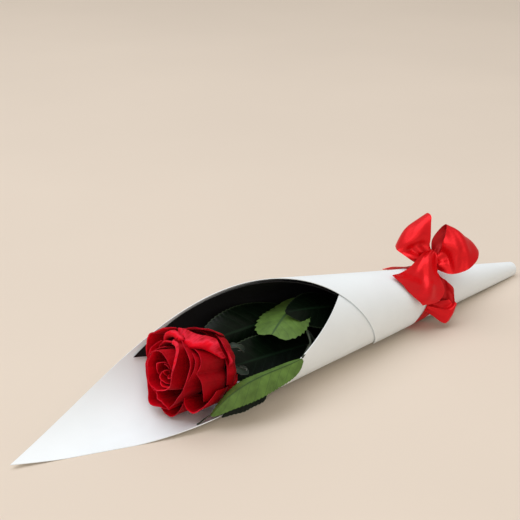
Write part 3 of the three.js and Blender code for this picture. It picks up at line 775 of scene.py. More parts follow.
# A petal's rim runs through (turn in degrees, radius, height): turn counts from the near side
# upwards. Belly and neck are the radius and height that its side view bends through. Curl and
# over are how the rim rolls outwards along its length: its radius, and how far it turns over.
# Lip is how far the petal goes on beyond that roll.
SHAPED_PETALS = [
    # round the heart
    {"rim": [(156, 17.2, 44), (133.1, 16.6, 47), (111.9, 16.3, 48), (94.9, 15.3, 48),
             (78.7, 13.4, 48), (57.3, 11.9, 48), (37.1, 9.5, 46)],
     "belly": (15, 10), "neck": (15.8, 34), "curl": (0.7, 0.8, 0.6), "over": (40, 60, 40)},
    {"rim": [(107.1, 18.5, 41), (136.4, 17.2, 44), (150.6, 15.1, 46.5), (-175.8, 14.1, 46),
             (-148.7, 15.2, 45), (-127.2, 16.3, 44), (-96.3, 14.5, 41)],
     "belly": (15.5, 10), "neck": (15, 32), "curl": (0.6, 0.6, 0.6), "over": (30, 50, 60)},
    # the tall one whose edge folds over beside the heart
    {"rim": [(78.2, 26.9, 42), (77.1, 25.2, 46.5), (67, 25.6, 47.8), (60, 23.4, 48),
             (51.5, 18.2, 48), (39.9, 14.4, 48), (21.2, 11.4, 48), (-3.3, 11.1, 48),
             (-21.3, 11.6, 47.8), (-51.2, 11.4, 47.2), (-80.9, 11.7, 46.5), (-114.9, 15.8, 44)],
     "belly": (19, 8), "neck": (18, 32), "curl": (1.6, 2.0, 1.9, 1.2, 0.8, 0.7),
     "over": (120, 160, 150, 110, 80, 90)},
    # the next two, close behind it
    {"rim": [(89.7, 26.2, 35), (68.6, 25.1, 40), (53.3, 26.3, 43), (40.6, 26.9, 44.5),
             (31.8, 25.9, 44.5), (19.5, 23.2, 44.5), (0.5, 20.2, 44), (-23.7, 18.9, 42.5),
             (-53.8, 19.4, 40), (-77.6, 23.8, 36.5), (-94.3, 28.9, 32)],
     "belly": (23.5, 5), "neck": (20.5, 27), "curl": (1.4, 1.2, 0.9, 0.8, 0.8),
     "over": (60, 80, 80, 70, 50)},
    {"rim": [(54.7, 24, 36), (43.3, 27.3, 40), (35.1, 28.8, 42), (24.9, 26.1, 42),
             (12.4, 21.9, 41.5), (-6.8, 18.3, 40), (-36.5, 16.2, 36)],
     "belly": (25, 4), "neck": (22, 24), "curl": (0.7, 0.7, 0.7), "over": (50, 90, 60)},
    # low ones between the heart and the far side
    {"rim": [(132.7, 24.4, 34), (149.5, 23.7, 38), (163.8, 21.5, 40), (-172.7, 18.9, 40.5),
             (-146.4, 19.4, 40), (-130, 22.2, 38), (-121.3, 24.8, 34)],
     "belly": (20, 6), "neck": (19, 25), "curl": (0.8, 0.8, 0.8), "over": (50, 60, 50)},
    {"rim": [(150.6, 21.9, 32), (130.3, 21.5, 35), (111.8, 21.2, 36.5), (96.3, 20.7, 36.5),
             (83.5, 19.6, 35), (72.6, 16.8, 32)],
     "belly": (22, 5), "neck": (20.5, 22), "curl": (1.2, 1.2, 1.2), "over": (60, 110, 60)},
    {"rim": [(-131.9, 24.4, 32), (-118.5, 22.1, 36.5), (-107.6, 23.7, 38), (-98, 24, 38),
             (-89.4, 25.5, 37), (-89.6, 29, 33)],
     "belly": (24, 4), "neck": (22.5, 22), "curl": (0.9, 0.9, 0.9), "over": (40, 70, 60)},
    # the broad wavy one on the near side
    {"rim": [(86.5, 23.7, 30), (63.9, 25.2, 34.5), (50.8, 28.6, 36.5), (41.3, 29.9, 37),
             (33.4, 29, 37), (24.6, 26, 37), (17.1, 23.1, 37), (11.6, 24.5, 36.5),
             (3.7, 26.4, 35.5), (-5.9, 27, 34), (-18.3, 27.3, 31), (-34, 27.7, 26)],
     "belly": (31, 0), "neck": (26.5, 19), "curl": (0.9, 1.0, 1.1, 0.9, 0.8),
     "over": (50, 80, 110, 70, 40)},
    # its neighbour below, with a steep side edge
    {"rim": [(-66.4, 17.3, 27), (-61.6, 21.9, 31), (-56.5, 28, 32), (-49.8, 30.9, 31.5),
             (-39.9, 31.8, 31), (-31, 32.2, 30), (-22.1, 31.7, 27), (-11.4, 29.5, 22)],
     "belly": (31.5, -0.5), "neck": (27, 17), "curl": (0.9, 1.2, 1.0), "over": (80, 70, 50)},
    # pointed ones below and on the far side
    {"rim": [(-125.2, 34.8, 25), (-106.5, 33.9, 30), (-96.6, 34.5, 31), (-85.9, 33.8, 31),
             (-78, 30.5, 31.2), (-68, 25.2, 31.5), (-62, 20.8, 30), (-66.9, 17.9, 26)],
     "belly": (31.5, -1), "neck": (27, 14), "curl": (0.8, 0.8, 1.0, 0.9),
     "over": (40, 50, 70, 60)},
    {"rim": [(-89.7, 27.7, 30), (-92.5, 29, 33.5), (-103.6, 29.9, 35.5), (-119.6, 34.1, 36.2),
             (-128.4, 29.9, 36.6), (-140.1, 26.1, 36.8), (-151.8, 24.8, 37), (-168.6, 24.6, 36.5),
             (-178.2, 26.6, 34.5), (174.6, 29.6, 30)],
     "belly": (30.5, 0), "neck": (25.5, 18), "curl": (0.8, 0.8, 0.8), "over": (40, 45, 60)},
    {"rim": [(-171.9, 32.1, 28), (173.7, 29.4, 33), (161.7, 29.2, 35.4), (151.5, 30.7, 36.2),
             (142.9, 32.2, 36), (132.6, 31.4, 35.6), (122.3, 31.1, 35), (112.9, 30.8, 33),
             (109.2, 29.9, 28)],
     "belly": (31, 0), "neck": (26.5, 18), "curl": (0.9, 1.1, 1.0), "over": (50, 60, 70)},
    # the top ones, whose lips lie over and catch the light
    {"rim": [(134, 22.6, 30), (113.8, 24.3, 34.5), (102.7, 25.3, 36), (91.8, 24.9, 37),
             (82.4, 24.2, 37), (78.9, 23.7, 35), (81.8, 22, 31)],
     "belly": (30, 0), "neck": (25, 18), "curl": (1.4, 1.6, 1.6, 1.4), "over": (90, 130, 130, 90),
     "lip": (1.5, 3, 3, 1.5)},
    {"rim": [(104.7, 25.8, 28), (86.8, 23.9, 32.5), (72, 23.2, 34.5), (61.4, 24.2, 35),
             (54.4, 28.1, 34.5), (50.2, 30.3, 32), (42.3, 31.3, 26), (33, 30.5, 18)],
     "belly": (32.5, -1.5), "neck": (27, 14), "curl": (1.6, 2.0, 2.2, 2.2, 2.0, 1.6),
     "over": (100, 125, 130, 125, 110, 70),
     "lip": (3, 7, 12, 12, 8, 4)},
    # the outermost, seen against the dark leaves
    {"rim": [(131.4, 29.5, 17), (108.6, 28.6, 20), (90.7, 30.7, 20.5), (77, 33.5, 20),
             (68.4, 35.6, 18), (63.5, 34.6, 14)],
     "belly": (32, -2), "neck": (29.5, 10), "curl": (1.0, 1.2, 1.0), "over": (50, 80, 60)},
    {"rim": [(69.6, 31.1, 12), (55, 33.6, 15), (45.9, 33.2, 15), (38, 32.6, 13.5),
             (29.6, 30.3, 11), (20.7, 25, 7)],
     "belly": (32.5, -3), "neck": (30.5, 7), "curl": (1.2, 1.8, 2.0), "over": (60, 110, 140)},
]
RULED_STATIONS, RULED_IN, RULED_DROP = (-1, -0.6, 0, 0.6, 1), 0.4, 0.16
# Ruled petals have an even arc for a rim. Guard petals are the outermost: centre and height.
GUARD_PETALS = [(28.0, 10.0), (88.0, 11.0), (148.0, 17.0), (208.0, 17.0), (268.0, 14.0),
                (328.0, 4.0)]
GUARD_SPREAD, GUARD_RADIUS = 38.0, 26.8
GUARD_SIDE = {"belly": (32, -3.5), "curl": (1.2, 1.8, 1.2), "over": (50, 100, 50)}
GUARD_NECK = (28.5, 0.5)  # radius, and its height as a share of the petal's
# Heart petals follow each other by the turn, each a little wider and lower than the one before,
# and each spirals inwards to the one before it.
HEART_COUNT, HEART_START, HEART_TURN, HEART_SPREAD = 9, 40, 137.5, 74.0
HEART_INNER, HEART_OUTER, HEART_HIGH, HEART_LOW = 1.8, 10.4, 44.5, 41.0
HEART_SIDE = {"curl": (0.35, 0.5, 0.35), "over": (60, 110, 60), "foot": (2.0, 12.0),
              "ruffle": 3.0}
HEART_BELLY, HEART_NECK = (3, 14), (1.5, 34)  # past the rim's radius, and height
HEART_SPIRAL, HEART_SHIFT, HEART_CORE = 1.6, 3.0, 1.2


def bloom_point(turn, radius, height):
    """Bloom cylinder coordinates to millimetres from the cone's apex."""
    near = radius * np.cos(np.radians(turn))
    up = radius * np.sin(np.radians(turn)) * BLOOM_SETTLING
    return (BLOOM_BASE + np.multiply.outer(near, BLOOM_NEAR) + np.multiply.outer(up, BLOOM_UP)
            + np.multiply.outer(height, BLOOM_AXIS))


def unwrapped(rim):
    """A rim's points with turns that never jump by a full circle."""
    rim = np.array(rim, float)
    rim[:, 0] = np.degrees(np.unwrap(np.radians(rim[:, 0])))
    return rim


def petal_grid(shape, seed):
    """A petal from its foot up its bellied side to its rim, which then rolls over outwards."""
    draw = np.random.default_rng(seed)
    rim = curve_through(unwrapped(shape["rim"]), PETAL_COLUMNS + 1)
    order = 1 if rim[-1, 0] > rim[0, 0] else -1
    across = np.linspace(0, 1, PETAL_COLUMNS + 1)
    wave = shape.get("ruffle", 1.0) * sum(a * np.sin(2 * np.pi * (k * across + draw.random()))
                                          for k, a in RUFFLES)
    size = rim[:, 1].mean() / FULL_RADIUS
    turn, radius, height = rim[:, 0], rim[:, 1] + wave * size, rim[:, 2] + RUFFLE_LIFT * wave * size
    v = np.linspace(0, 1, PETAL_ROWS)[None]
    side = []
    for value, foot, belly, neck, shares in zip((radius, height), shape.get("foot", PETAL_FOOT),
                                                shape["belly"], shape["neck"], BELLY_FOLLOWS):
        own = value - value.mean()
        b, n = belly + shares[0] * own, neck + shares[1] * own
        side.append((1 - v) ** 3 * foot + 3 * v * (1 - v) ** 2 * b[:, None]
                    + 3 * v * v * (1 - v) * n[:, None] + v ** 3 * value[:, None])
    for count, depth in FLUTES:
        flute = depth * size * np.sin(2 * np.pi * (count * across + draw.random()))[:, None]
        side[0] = side[0] + flute * np.sin(np.pi * v) * v
    reach = np.stack([side[0][:, -1] - side[0][:, -2], side[1][:, -1] - side[1][:, -2]], 1)
    reach /= np.linalg.norm(reach, axis=1, keepdims=True)
    over = np.stack([reach[:, 1], -reach[:, 0]], 1)
    curl, bend = (np.interp(across, np.linspace(0, 1, len(values)), values)
                  for values in (shape["curl"], np.radians(shape["over"])))
    for step in range(1, ROLL_ROWS + 1):
        angle = bend * step / ROLL_ROWS
        move = curl[:, None] * (np.sin(angle)[:, None] * reach
                                + (1 - np.cos(angle))[:, None] * over)
        side[0] = np.column_stack([side[0], radius + move[:, 0]])
        side[1] = np.column_stack([side[1], height + move[:, 1]])
    if "lip" in shape:
        lip = np.interp(across, np.linspace(0, 1, len(shape["lip"])), shape["lip"])[:, None]
        onward = np.cos(bend)[:, None] * reach + np.sin(bend)[:, None] * over
        lift = np.sin(bend)[:, None] * reach - np.cos(bend)[:, None] * over
        fan = LIP_FAN * np.sin(2 * np.pi * (LIP_FOLDS * across + 0.1))[:, None]
        for step in range(1, LIP_ROWS + 1):
            out = lip * step / LIP_ROWS
            spot = move + out * onward + out * (fan - LIP_DROOP * out) * lift
            side[0] = np.column_stack([side[0], radius + spot[:, 0]])
            side[1] = np.column_stack([side[1], height + spot[:, 1]])
    turns = np.repeat(turn[:, None], side[0].shape[1], axis=1)
    return bloom_point(turns, side[0], side[1])[::order]


def ruled_rim(centre, spread, radius, height):
    """An even arc of rim that drops at both ends."""
    return [(centre + spread * u, radius - RULED_IN * abs(u), height * (1 - RULED_DROP * u * u))
            for u in RULED_STATIONS]


def heart_petals():
    """The tight swirl: each petal a little wider and lower than the one inside it."""
    made = []
    for k in range(HEART_COUNT):
        share = k / (HEART_COUNT - 1)
        radius = HEART_INNER + (HEART_OUTER - HEART_INNER) * share
        height = HEART_HIGH + (HEART_LOW - HEART_HIGH) * (1 - share)
        rim = [(t, max(r + HEART_SPIRAL * j - HEART_SHIFT, HEART_CORE), h) for j, (t, r, h) in
               enumerate(ruled_rim(HEART_START + HEART_TURN * k, HEART_SPREAD, radius, height))]
        belly, neck = ((radius + out, level) for out, level in (HEART_BELLY, HEART_NECK))
        made.append({"rim": rim, "belly": belly, "neck": neck, **HEART_SIDE})
    return made


def guard_petals():
    """The outermost petals, lowest on the near side."""
    neck, share = GUARD_NECK
    return [{"rim": ruled_rim(centre, GUARD_SPREAD, GUARD_RADIUS, height),
             "neck": (neck, share * height), **GUARD_SIDE} for centre, height in GUARD_PETALS]


def velvet_petal(name, stops, sheen):
    """Rose petal: velvet cells and fine ribs from foot to rim; the colour darkens towards the foot
    as painted shade in the hollows, and the lips are paler as a painted highlight.
    """
    material, tree = new_material(name)
    where = add(tree, "ShaderNodeTexCoord")
    height = add(tree, "ShaderNodeSeparateXYZ", {"Vector": where.outputs["UV"]}).outputs["Y"]
    ribs = add(tree, "ShaderNodeMapping", {"Vector": where.outputs["UV"],
                                           "Scale": (46.0, 2.4, 1.0)})
    rib = add(tree, "ShaderNodeTexNoise", {"Vector": ribs, "Scale": 1.0, "Detail": 3.0})
    soft = add(tree, "ShaderNodeTexNoise", {"Vector": where.outputs["Object"],
                                            "Scale": 1 / (9 * MM), "Detail": 2.0})
    # The ramp's position rises from foot to rim: low values give painted shade deep in the hollows,
    # the band near the rim a painted highlight on the lips.
    painted_shade_and_lip_fac = height
    for noise, swing, middle in ((rib, 0.2, -0.1), (soft, 0.5, -0.27)):
        shift = add(tree, "ShaderNodeMath", {0: noise, 1: swing, 2: middle},
                    operation="MULTIPLY_ADD")
        painted_shade_and_lip_fac = add(tree, "ShaderNodeMath", {0: painted_shade_and_lip_fac, 1: shift}, operation="ADD")
    tone = add(tree, "ShaderNodeValToRGB", {"Fac": painted_shade_and_lip_fac}, stops)
    cells = add(tree, "ShaderNodeMath", {0: soft, 1: 4.0, 2: rib}, operation="MULTIPLY_ADD")
    end_material(tree, {"Base Color": tone, "Roughness": 0.6, "Specular IOR Level": 0.1,
                        "Sheen Weight": sheen, "Sheen Roughness": 0.28,
                        "Sheen Tint": linear("#FF5A68")}, (cells, 0.5, 0.5 * MM))
    return material


class ROSE_OT_bloom(bpy.types.Operator):
    """Makes the bloom petal by petal, from the swirl at its heart outwards."""

    bl_idname = "rose.open_bloom"
    bl_label = "Bloom"

    def execute(self, context):
        rose = context.scene.rose_plant
        red = tuple(rose.petal_colour)
        # Inside face: painted shade darkening towards the foot, a paler band near the rim as
        # painted highlight on the lips, and darker again at the very end of the roll.
        inside = velvet_petal("red_velvet_inside", [
            (0.12, dimmed(red, 0.12)), (0.5, dimmed(red, 0.45)), (0.72, dimmed(red, 0.8)),
            (0.82, red), (0.89, linear("#E82842")), (1.0, dimmed(red, 0.5))], 0.4)
        # Outside face: a darker copy of the petal red, darker again towards the foot, as painted
        # shade.
        outside = velvet_petal("crimson_petal_back", [
            (0.15, dimmed(red, 0.16)), (0.6, dimmed(red, 0.42)), (0.82, dimmed(red, 0.55)),
            (0.97, linear("#B81028"))], 0.25)
        layers = {"bloom_heart": heart_petals(), "bloom_petals": SHAPED_PETALS,
                  "bloom_guard_petals": guard_petals()}
        for number, (name, petals) in enumerate(layers.items()):
            grids = [petal_grid(petal, SEEDS_PER_LAYER * number + k)
                     for k, petal in enumerate(petals)]
            shape = sheets(grids, rose.petal_thickness / MM)
            make_piece(name, shape, [outside, inside], "bloom")
        return {"FINISHED"}


# ---------- the leafy stem ----------

STEM_ROUTE = [(-350, 2, 15.5), (-300, 0, 8), (-250, 0, 6.1), (-200, 0, 7.2), (-150, 0, 7.2),
              (-90, 0, 6.2), (-57, 0, 5.6)]
STEM_NECK = [(0, 0, -3), (90, 0.5, -14)]  # bloom turn, radius, height where the stem meets it
STEM_STEPS, STEM_SIDES = 90, 20
STALK_STEPS, STALK_SIDES, STALK_TAPER = 30, 10, (1.25, 0.8)
SEPAL_HALF_WIDTH, SEPAL_THICKNESS, SEPAL_STEPS, SEPAL_COLUMNS = 2.8, 0.5, 33, 9
SEPAL_TAPER, SEPAL_LOBE, SEPAL_LOBES, SEPAL_TIP = 0.6, 0.2, 30, 0.1
SEPAL_CUP, SEPAL_TWIST, SEPAL_TWISTS = 0.35, 0.8, 4
# Each sepal's spine, in bloom turn, radius and height; most curl back towards the stem.
SEPALS = [
    [(16, 4, -3.5), (14, 14, -5), (10, 21, -6), (4, 24, -12), (8, 20, -16), (14, 17, -13)],
    [(70, 4, -3.5), (64, 14, -5), (58, 22, -6), (50, 25, -10), (44, 22, -15), (50, 17, -16)],
    [(164, 4, -3.5), (164, 11, -5), (166, 15, -12), (170, 13, -21), (178, 9, -28)],
    [(236, 4, -3.5), (236, 10, -5), (238, 13, -11), (244, 10, -19)],
    [(-16, 4, -3.5), (-18, 20, -4.5), (-24, 33, 2), (-34, 36.5, 14), (-46, 37, 23), (-55, 40, 29)],
]
CUP_PROFILE = [(0, -9), (3.4, -8.5), (5.6, -5), (6, -2.5), (4.6, 0), (0, 0)]
THORNS = [(-215, 60), (-172, -70), (-128, 40), (-262, 10)]  # along the stem, and lean in degrees
THORN_LENGTH, THORN_SINK, THORN_RAKE = 5.0, 1.2, 0.25
CUP_WALL, CUP_STEPS, CUP_SIDES = 0.3, 20, 32
LEAF_COLUMNS = 24
TOOTH_STEPS = 4  # rows of a blade for each tooth
SIDE_VEINS, VEIN_LEAN = 9, 1.6  # on each side of the midrib, and how far they run on
BLADE_START, BLADE_SPAN, NARROWEST = 0.01, 0.985, 0.3  # of the midrib, and mm to a side
TOOTH_SHARPNESS, TOOTH_LEAD = 6, 0.25
PUFF, MIDRIB, MIDRIB_BREADTH, MIDRIB_TAPER = 0.12, 0.55, 0.07, 0.8
BLADE_WAVE, BLADE_WAVES, FULL_HALF = 0.7, 1.8, 8  # mm, count, half width that has all of it

# Leaflets: foot and tip of the midrib, the way the blade's upper face looks, greatest width,
# how far the midrib arches, the sides droop, the angle that each side folds down from the
# midrib, how blunt foot and tip are, the teeth on an edge and how deep they bite. A turned one
# shows its underside.
LEAFLETS = {
    "leaf_bright": {"foot": (-343.7, -40.3, 35.3), "tip": (-415, -26.4, 11.1),
                    "face": (0, -0.29, 0.956), "width": 25, "arch": 10, "droop": 0.1,
                    "fold": 36, "ends": (0.62, 0.7), "teeth": 26, "bite": 0.08, "turned": True},
    "leaf_rim": {"foot": (-377.7, -40, 21.9), "tip": (-408.9, -30, 9.6), "face": (0, 0, 1),
                 "width": 13, "arch": 3, "droop": 0.1, "fold": 55, "ends": (0.45, 0.7),
                 "teeth": 12, "bite": 0.35, "turned": False},
    "leaf_back": {"foot": (-298, 19, 35), "tip": (-383, 21, 37), "face": (-0.2, -0.8, 0.56),
                  "width": 37, "arch": 3, "droop": 0.2, "fold": 8, "ends": (0.6, 0.55),
                  "teeth": 23, "bite": 0.05, "turned": False},
    "leaf_low": {"foot": (-300, -2, 17), "tip": (-382.5, -4.6, 26.9), "face": (-0.5, -0.65, 0.57),
                 "width": 35, "arch": 2, "droop": 0.12, "fold": 5, "ends": (0.5, 0.4),
                 "teeth": 23, "bite": 0.05, "turned": False},
    "leaf_turned": {"foot": (-295, 14, 48), "tip": (-343.7, -8.1, 41), "face": (-0.1, -0.1, 1),
                    "width": 38, "arch": 2, "droop": 0.12, "fold": 8, "ends": (0.55, 0.32),
                    "teeth": 11, "bite": 0.1, "turned": True},
    "leaf_top": {"foot": (-268, -4, 39), "tip": (-325, -2, 50.5), "face": (-0.3, -0.6, 0.8),
                 "width": 32, "arch": 2, "droop": 0.15, "fold": 6, "ends": (0.5, 0.8),
                 "teeth": 19, "bite": 0.05, "turned": False},
}
STALKS = [  # radius, and the route from the stem to a leaflet's foot
    (0.9, [(-284, 0, 7), (-296, -9, 14), (-320, -20, 40.7), (-329.7, -33, 38.5),
           (-343.2, -39.3, 35.3)]),
    (1.1, [(-262, 0, 7), (-276, 9, 22), (-292, 17, 32), (-303, 19.7, 33.6)]),
    (1.1, [(-250, 0, 7), (-262, 4, 24), (-280, 11, 42), (-297, 14, 48)]),
    (1.1, [(-276, 0, 7), (-290, -2, 11), (-304, -3, 17)]),
    (1.1, [(-236, 0, 7), (-248, 0, 26), (-262, -3, 37.5), (-273, -4, 40)]),
    (0.7, [(-329.7, -33, 38.5), (-352.2, -36.5, 22.7), (-377.7, -40, 21.9)]),
]


def leaf_breadth(t, foot, tip):
    """Share of the greatest width along the midrib; low values of foot and tip are blunt."""
    widest = foot / (foot + tip)
    return (t / widest) ** foot * ((1 - t) / (1 - widest)) ** tip


def leaf_grid(leaf):
    """A toothed blade that arches along its midrib and puffs a little between its veins."""
    teeth = leaf["teeth"]
    foot, tip = np.array(leaf["foot"], float), np.array(leaf["tip"], float)
    along = tip - foot
    across = unit(np.cross(along, leaf["face"]))
    normal = unit(np.cross(across, along))
    stations = teeth * TOOTH_STEPS + 1
    t = BLADE_START + BLADE_SPAN * np.linspace(0, 1, stations)
    sides = np.linspace(-1, 1, LEAF_COLUMNS + 1) * (1 if leaf["turned"] else -1)
    tooth = (np.arange(stations) % TOOTH_STEPS) / TOOTH_STEPS  # it swells, then steps back
    half = np.maximum(leaf["width"] / 2 * leaf_breadth(t, *leaf["ends"]), NARROWEST)
    edge = np.abs(sides)[None] ** TOOTH_SHARPNESS
    reach = half[:, None] * (0.97 + leaf["bite"] * (tooth[:, None] - 0.4) * edge)
    lead = TOOTH_LEAD / teeth * edge * tooth[:, None]
    vein = np.cos(2 * np.pi * (t[:, None] * SIDE_VEINS - np.abs(sides)[None] * VEIN_LEAN))
    puff = -PUFF * vein * np.sin(np.pi * np.abs(sides))[None] * np.sin(np.pi * t)[:, None]
    wave = np.sin(2 * np.pi * t * BLADE_WAVES + 1.0)[:, None] * np.sign(sides) * sides[None] ** 2
    wave *= BLADE_WAVE
    fold = math.radians(leaf["fold"])
    fall = leaf["droop"] * sides ** 2 + math.sin(fold) * np.abs(sides)
    along_arch = t ** 1.5
    rise = (leaf["arch"] * 4 * along_arch * (1 - along_arch))[:, None] - half[:, None] * fall
    rise = rise + (puff + wave) * np.minimum(half / FULL_HALF, 1)[:, None]
    grid = (foot + (t[:, None] + lead)[..., None] * along + rise[..., None] * normal
            + (math.cos(fold) * sides[None] * reach)[..., None] * across)
    rib = np.exp(-(sides / MIDRIB_BREADTH) ** 2)[None]
    rib = rib * (MIDRIB * (1 - MIDRIB_TAPER * t))[:, None]
    return grid, rib


def leaf_skin(name, flesh, vein, rim, gloss, shine, vein_lift):
    """Leaf skin: waxy above and matt beneath, with a midrib and paired side veins in relief."""
    material, tree = new_material(name)
    where = add(tree, "ShaderNodeTexCoord")
    split = add(tree, "ShaderNodeSeparateXYZ", {"Vector": where.outputs["UV"]})
    offside = add(tree, "ShaderNodeMath", {0: split.outputs["Y"], 1: 2, 2: -1},
                  operation="MULTIPLY_ADD")
    side = add(tree, "ShaderNodeMath", {0: offside}, operation="ABSOLUTE")
    along = add(tree, "ShaderNodeMath", {0: split.outputs["X"], 1: SIDE_VEINS},
                operation="MULTIPLY")
    slant = add(tree, "ShaderNodeMath", {0: side, 1: -VEIN_LEAN, 2: along},
                operation="MULTIPLY_ADD")
    ridge = add(tree, "ShaderNodeMath", {0: slant, 1: 0.5}, operation="PINGPONG")
    lines = add(tree, "ShaderNodeMapRange", {"Value": ridge, "From Min": 0.05, "From Max": 0.0,
                                             "To Max": 0.6})
    middle = add(tree, "ShaderNodeMapRange", {"Value": side, "From Min": 0.07, "From Max": 0.02})
    veins = add(tree, "ShaderNodeMath", {0: lines, 1: middle}, operation="MAXIMUM")
    mottle, cells = (add(tree, "ShaderNodeTexNoise", {
        "Vector": where.outputs["Object"], "Scale": 1 / size, "Detail": detail})
                     for size, detail in ((7 * MM, 5.0), (0.9 * MM, 2.0)))
    tone = add(tree, "ShaderNodeValToRGB", {"Fac": mottle},
               [(0.3, dimmed(flesh, 0.6)), (0.68, flesh)])
    veined = add(tree, "ShaderNodeMix", {0: veins, 6: tone, 7: vein}, data_type="RGBA")
    # The margin band takes the rim colour: on the dark upper skin and the sepals it is paler, a
    # painted edge highlight; on the underside it is darker.
    margin = add(tree, "ShaderNodeMapRange", {"Value": side, "From Min": 0.95, "From Max": 1.0,
                                              "To Max": 0.6})
    edged = add(tree, "ShaderNodeMix", {0: margin, 6: veined.outputs[2], 7: rim},
                data_type="RGBA")
    pores = add(tree, "ShaderNodeMath", {0: cells, 1: 0.35}, operation="MULTIPLY")
    height = add(tree, "ShaderNodeMath", {0: veins, 1: vein_lift, 2: pores},
                 operation="MULTIPLY_ADD")
    end_material(tree, {"Base Color": edged.outputs[2], "Roughness": gloss,
                        "Specular IOR Level": shine}, (height, 0.5, 0.3 * MM))
    return material


def sepal_grid(spine, seed):
    """A narrow, slightly folded and twisted sepal along a spine."""
    turn, radius, height = curve_through(spine, SEPAL_STEPS).T
    t = np.linspace(0, 1, SEPAL_STEPS)
    middle = bloom_point(turn, radius, height)
    lobes = 1 + SEPAL_LOBE * np.sin(SEPAL_LOBES * t + seed)
    half = SEPAL_HALF_WIDTH * np.maximum((1 - t) ** SEPAL_TAPER * lobes, SEPAL_TIP)
    along = np.gradient(middle, axis=0)
    out = bloom_point(turn, radius + 1, height + 0.4) - middle
    side = np.cross(along, out)
    side /= np.linalg.norm(side, axis=1, keepdims=True)
    across = np.linspace(-1, 1, SEPAL_COLUMNS)
    twist = SEPAL_TWIST * np.sin(SEPAL_TWISTS * t + seed)
    lift = SEPAL_CUP * half[:, None] * across ** 2 + twist[:, None] * across
    normal = np.cross(side, along)
    normal /= np.linalg.norm(normal, axis=1, keepdims=True)
    return (middle[:, None] + (half[:, None] * across)[..., None] * side[:, None]
            + lift[..., None] * normal[:, None])


def cup_grid():
    """The cup under the bloom, turned on its axis, which it meets at both ends."""
    profile = curve_through(CUP_PROFILE, CUP_STEPS)
    turns = np.arange(CUP_SIDES) * 360.0 / CUP_SIDES
    return np.array([bloom_point(np.full(len(profile), t), np.maximum(profile[:, 0], 0.02),
                                 profile[:, 1]) for t in turns])


def stem_skin(name, colour):
    """Smooth rose bark: green, with long darker streaks and a dull wax bloom."""
    material, tree = new_material(name)
    where = add(tree, "ShaderNodeTexCoord").outputs["Object"]
    streaks = add(tree, "ShaderNodeMapping", {"Vector": where, "Scale": (60.0, 420.0, 420.0)})
    fibre = add(tree, "ShaderNodeTexNoise", {"Vector": streaks, "Scale": 1.0, "Detail": 4.0})
    tone = add(tree, "ShaderNodeValToRGB", {"Fac": fibre},
               [(0.3, dimmed(colour, 0.55)), (0.62, colour), (0.8, linear("#6A4A32"))])
    end_material(tree, {"Base Color": tone, "Roughness": 0.5}, (fibre, 0.35, 0.2 * MM))
    return material


def open_tree(name, source, numbers):
    """A Geometry Nodes tree with one geometry coming in and number sockets with defaults."""
    tree = bpy.data.node_groups.new(name, "GeometryNodeTree")
    tree.interface.new_socket(source, in_out="INPUT", socket_type="NodeSocketGeometry")
    for label, (kind, value) in numbers.items():
        socket = tree.interface.new_socket(label, in_out="INPUT", socket_type=kind)
        socket.default_value = value
    return tree, add(tree, "NodeGroupInput").outputs


def end_tree(tree, label, made, material):
    """Ends a tree: instances made real, one material, the result under its label."""
    tree.interface.new_socket(label, in_out="OUTPUT", socket_type="NodeSocketGeometry")
    whole = add(tree, "GeometryNodeRealizeInstances", {"Geometry": made})
    painted = add(tree, "GeometryNodeSetMaterial", {"Geometry": whole, "Material": material})
    add(tree, "NodeGroupOutput", {label: painted})
    return tree


def rod_tree(material):
    """Geometry Nodes: a round rod along a curve, from a radius stored on its points."""
    tree, given = open_tree("rod_along_curve", "Curve", {"Sides": ("NodeSocketInt", 14)})
    section = add(tree, "GeometryNodeCurvePrimitiveCircle",
                  {"Resolution": given["Sides"], "Radius": 1.0})
    rod = add(tree, "GeometryNodeCurveToMesh",
              {"Curve": given["Curve"], "Profile Curve": section, "Fill Caps": True,
               "Scale": add(tree, "GeometryNodeInputRadius")})
    return end_tree(tree, "Rod", rod, material)


def thorn_tree(material):
    """Geometry Nodes: a broad-footed thorn on every point, along the aim stored on it."""
    tree, given = open_tree("thorns_on_points", "Points", {
        "Length": ("NodeSocketFloat", 0.005), "Foot": ("NodeSocketFloat", 0.0015)})
    spike = add(tree, "GeometryNodeMeshCone",
                {"Vertices": 10, "Side Segments": 5, "Radius Top": 0.0002,
                 "Radius Bottom": given["Foot"], "Depth": given["Length"]})
    aim = add(tree, "GeometryNodeInputNamedAttribute", {"Name": "aim"}, data_type="FLOAT_VECTOR")
    turn = add(tree, "FunctionNodeAlignRotationToVector", {"Vector": aim})
    spikes = add(tree, "GeometryNodeInstanceOnPoints",
                 {"Points": given["Points"], "Instance": spike, "Rotation": turn})
    return end_tree(tree, "Thorns", spikes, material)


def thorn_points(route, radius):
    """A mesh of single points on the stem's skin, each with the way its thorn aims."""
    spots, aims = [], []
    for x, lean in THORNS:
        at = route[np.argmin(np.abs(route[:, 0] - x))]
        aim = unit([THORN_RAKE, math.sin(math.radians(lean)), math.cos(math.radians(lean))])
        spots.append(at + aim * (radius - THORN_SINK))
        aims.append(tuple(aim))
    mesh = bpy.data.meshes.new("thorn_points")
    mesh.from_pydata(place(np.array(spots)).tolist(), [], [])
    mesh.attributes.new("aim", "FLOAT_VECTOR", "POINT").data.foreach_set(
        "vector", np.array(aims).ravel())
    return new_object("thorn_points", mesh)


def curve_object(name, route, radii):
    """A curve through a route's points, with the rod's radius stored on each."""
    data = bpy.data.curves.new(name, "CURVE")
    data.dimensions = "3D"
    spline = data.splines.new("POLY")
    spline.points.add(len(route) - 1)
    for point, place_at, radius in zip(spline.points, place(route), radii):
        point.co = (*place_at, 1.0)
        point.radius = radius * MM
    return new_object(name, data)


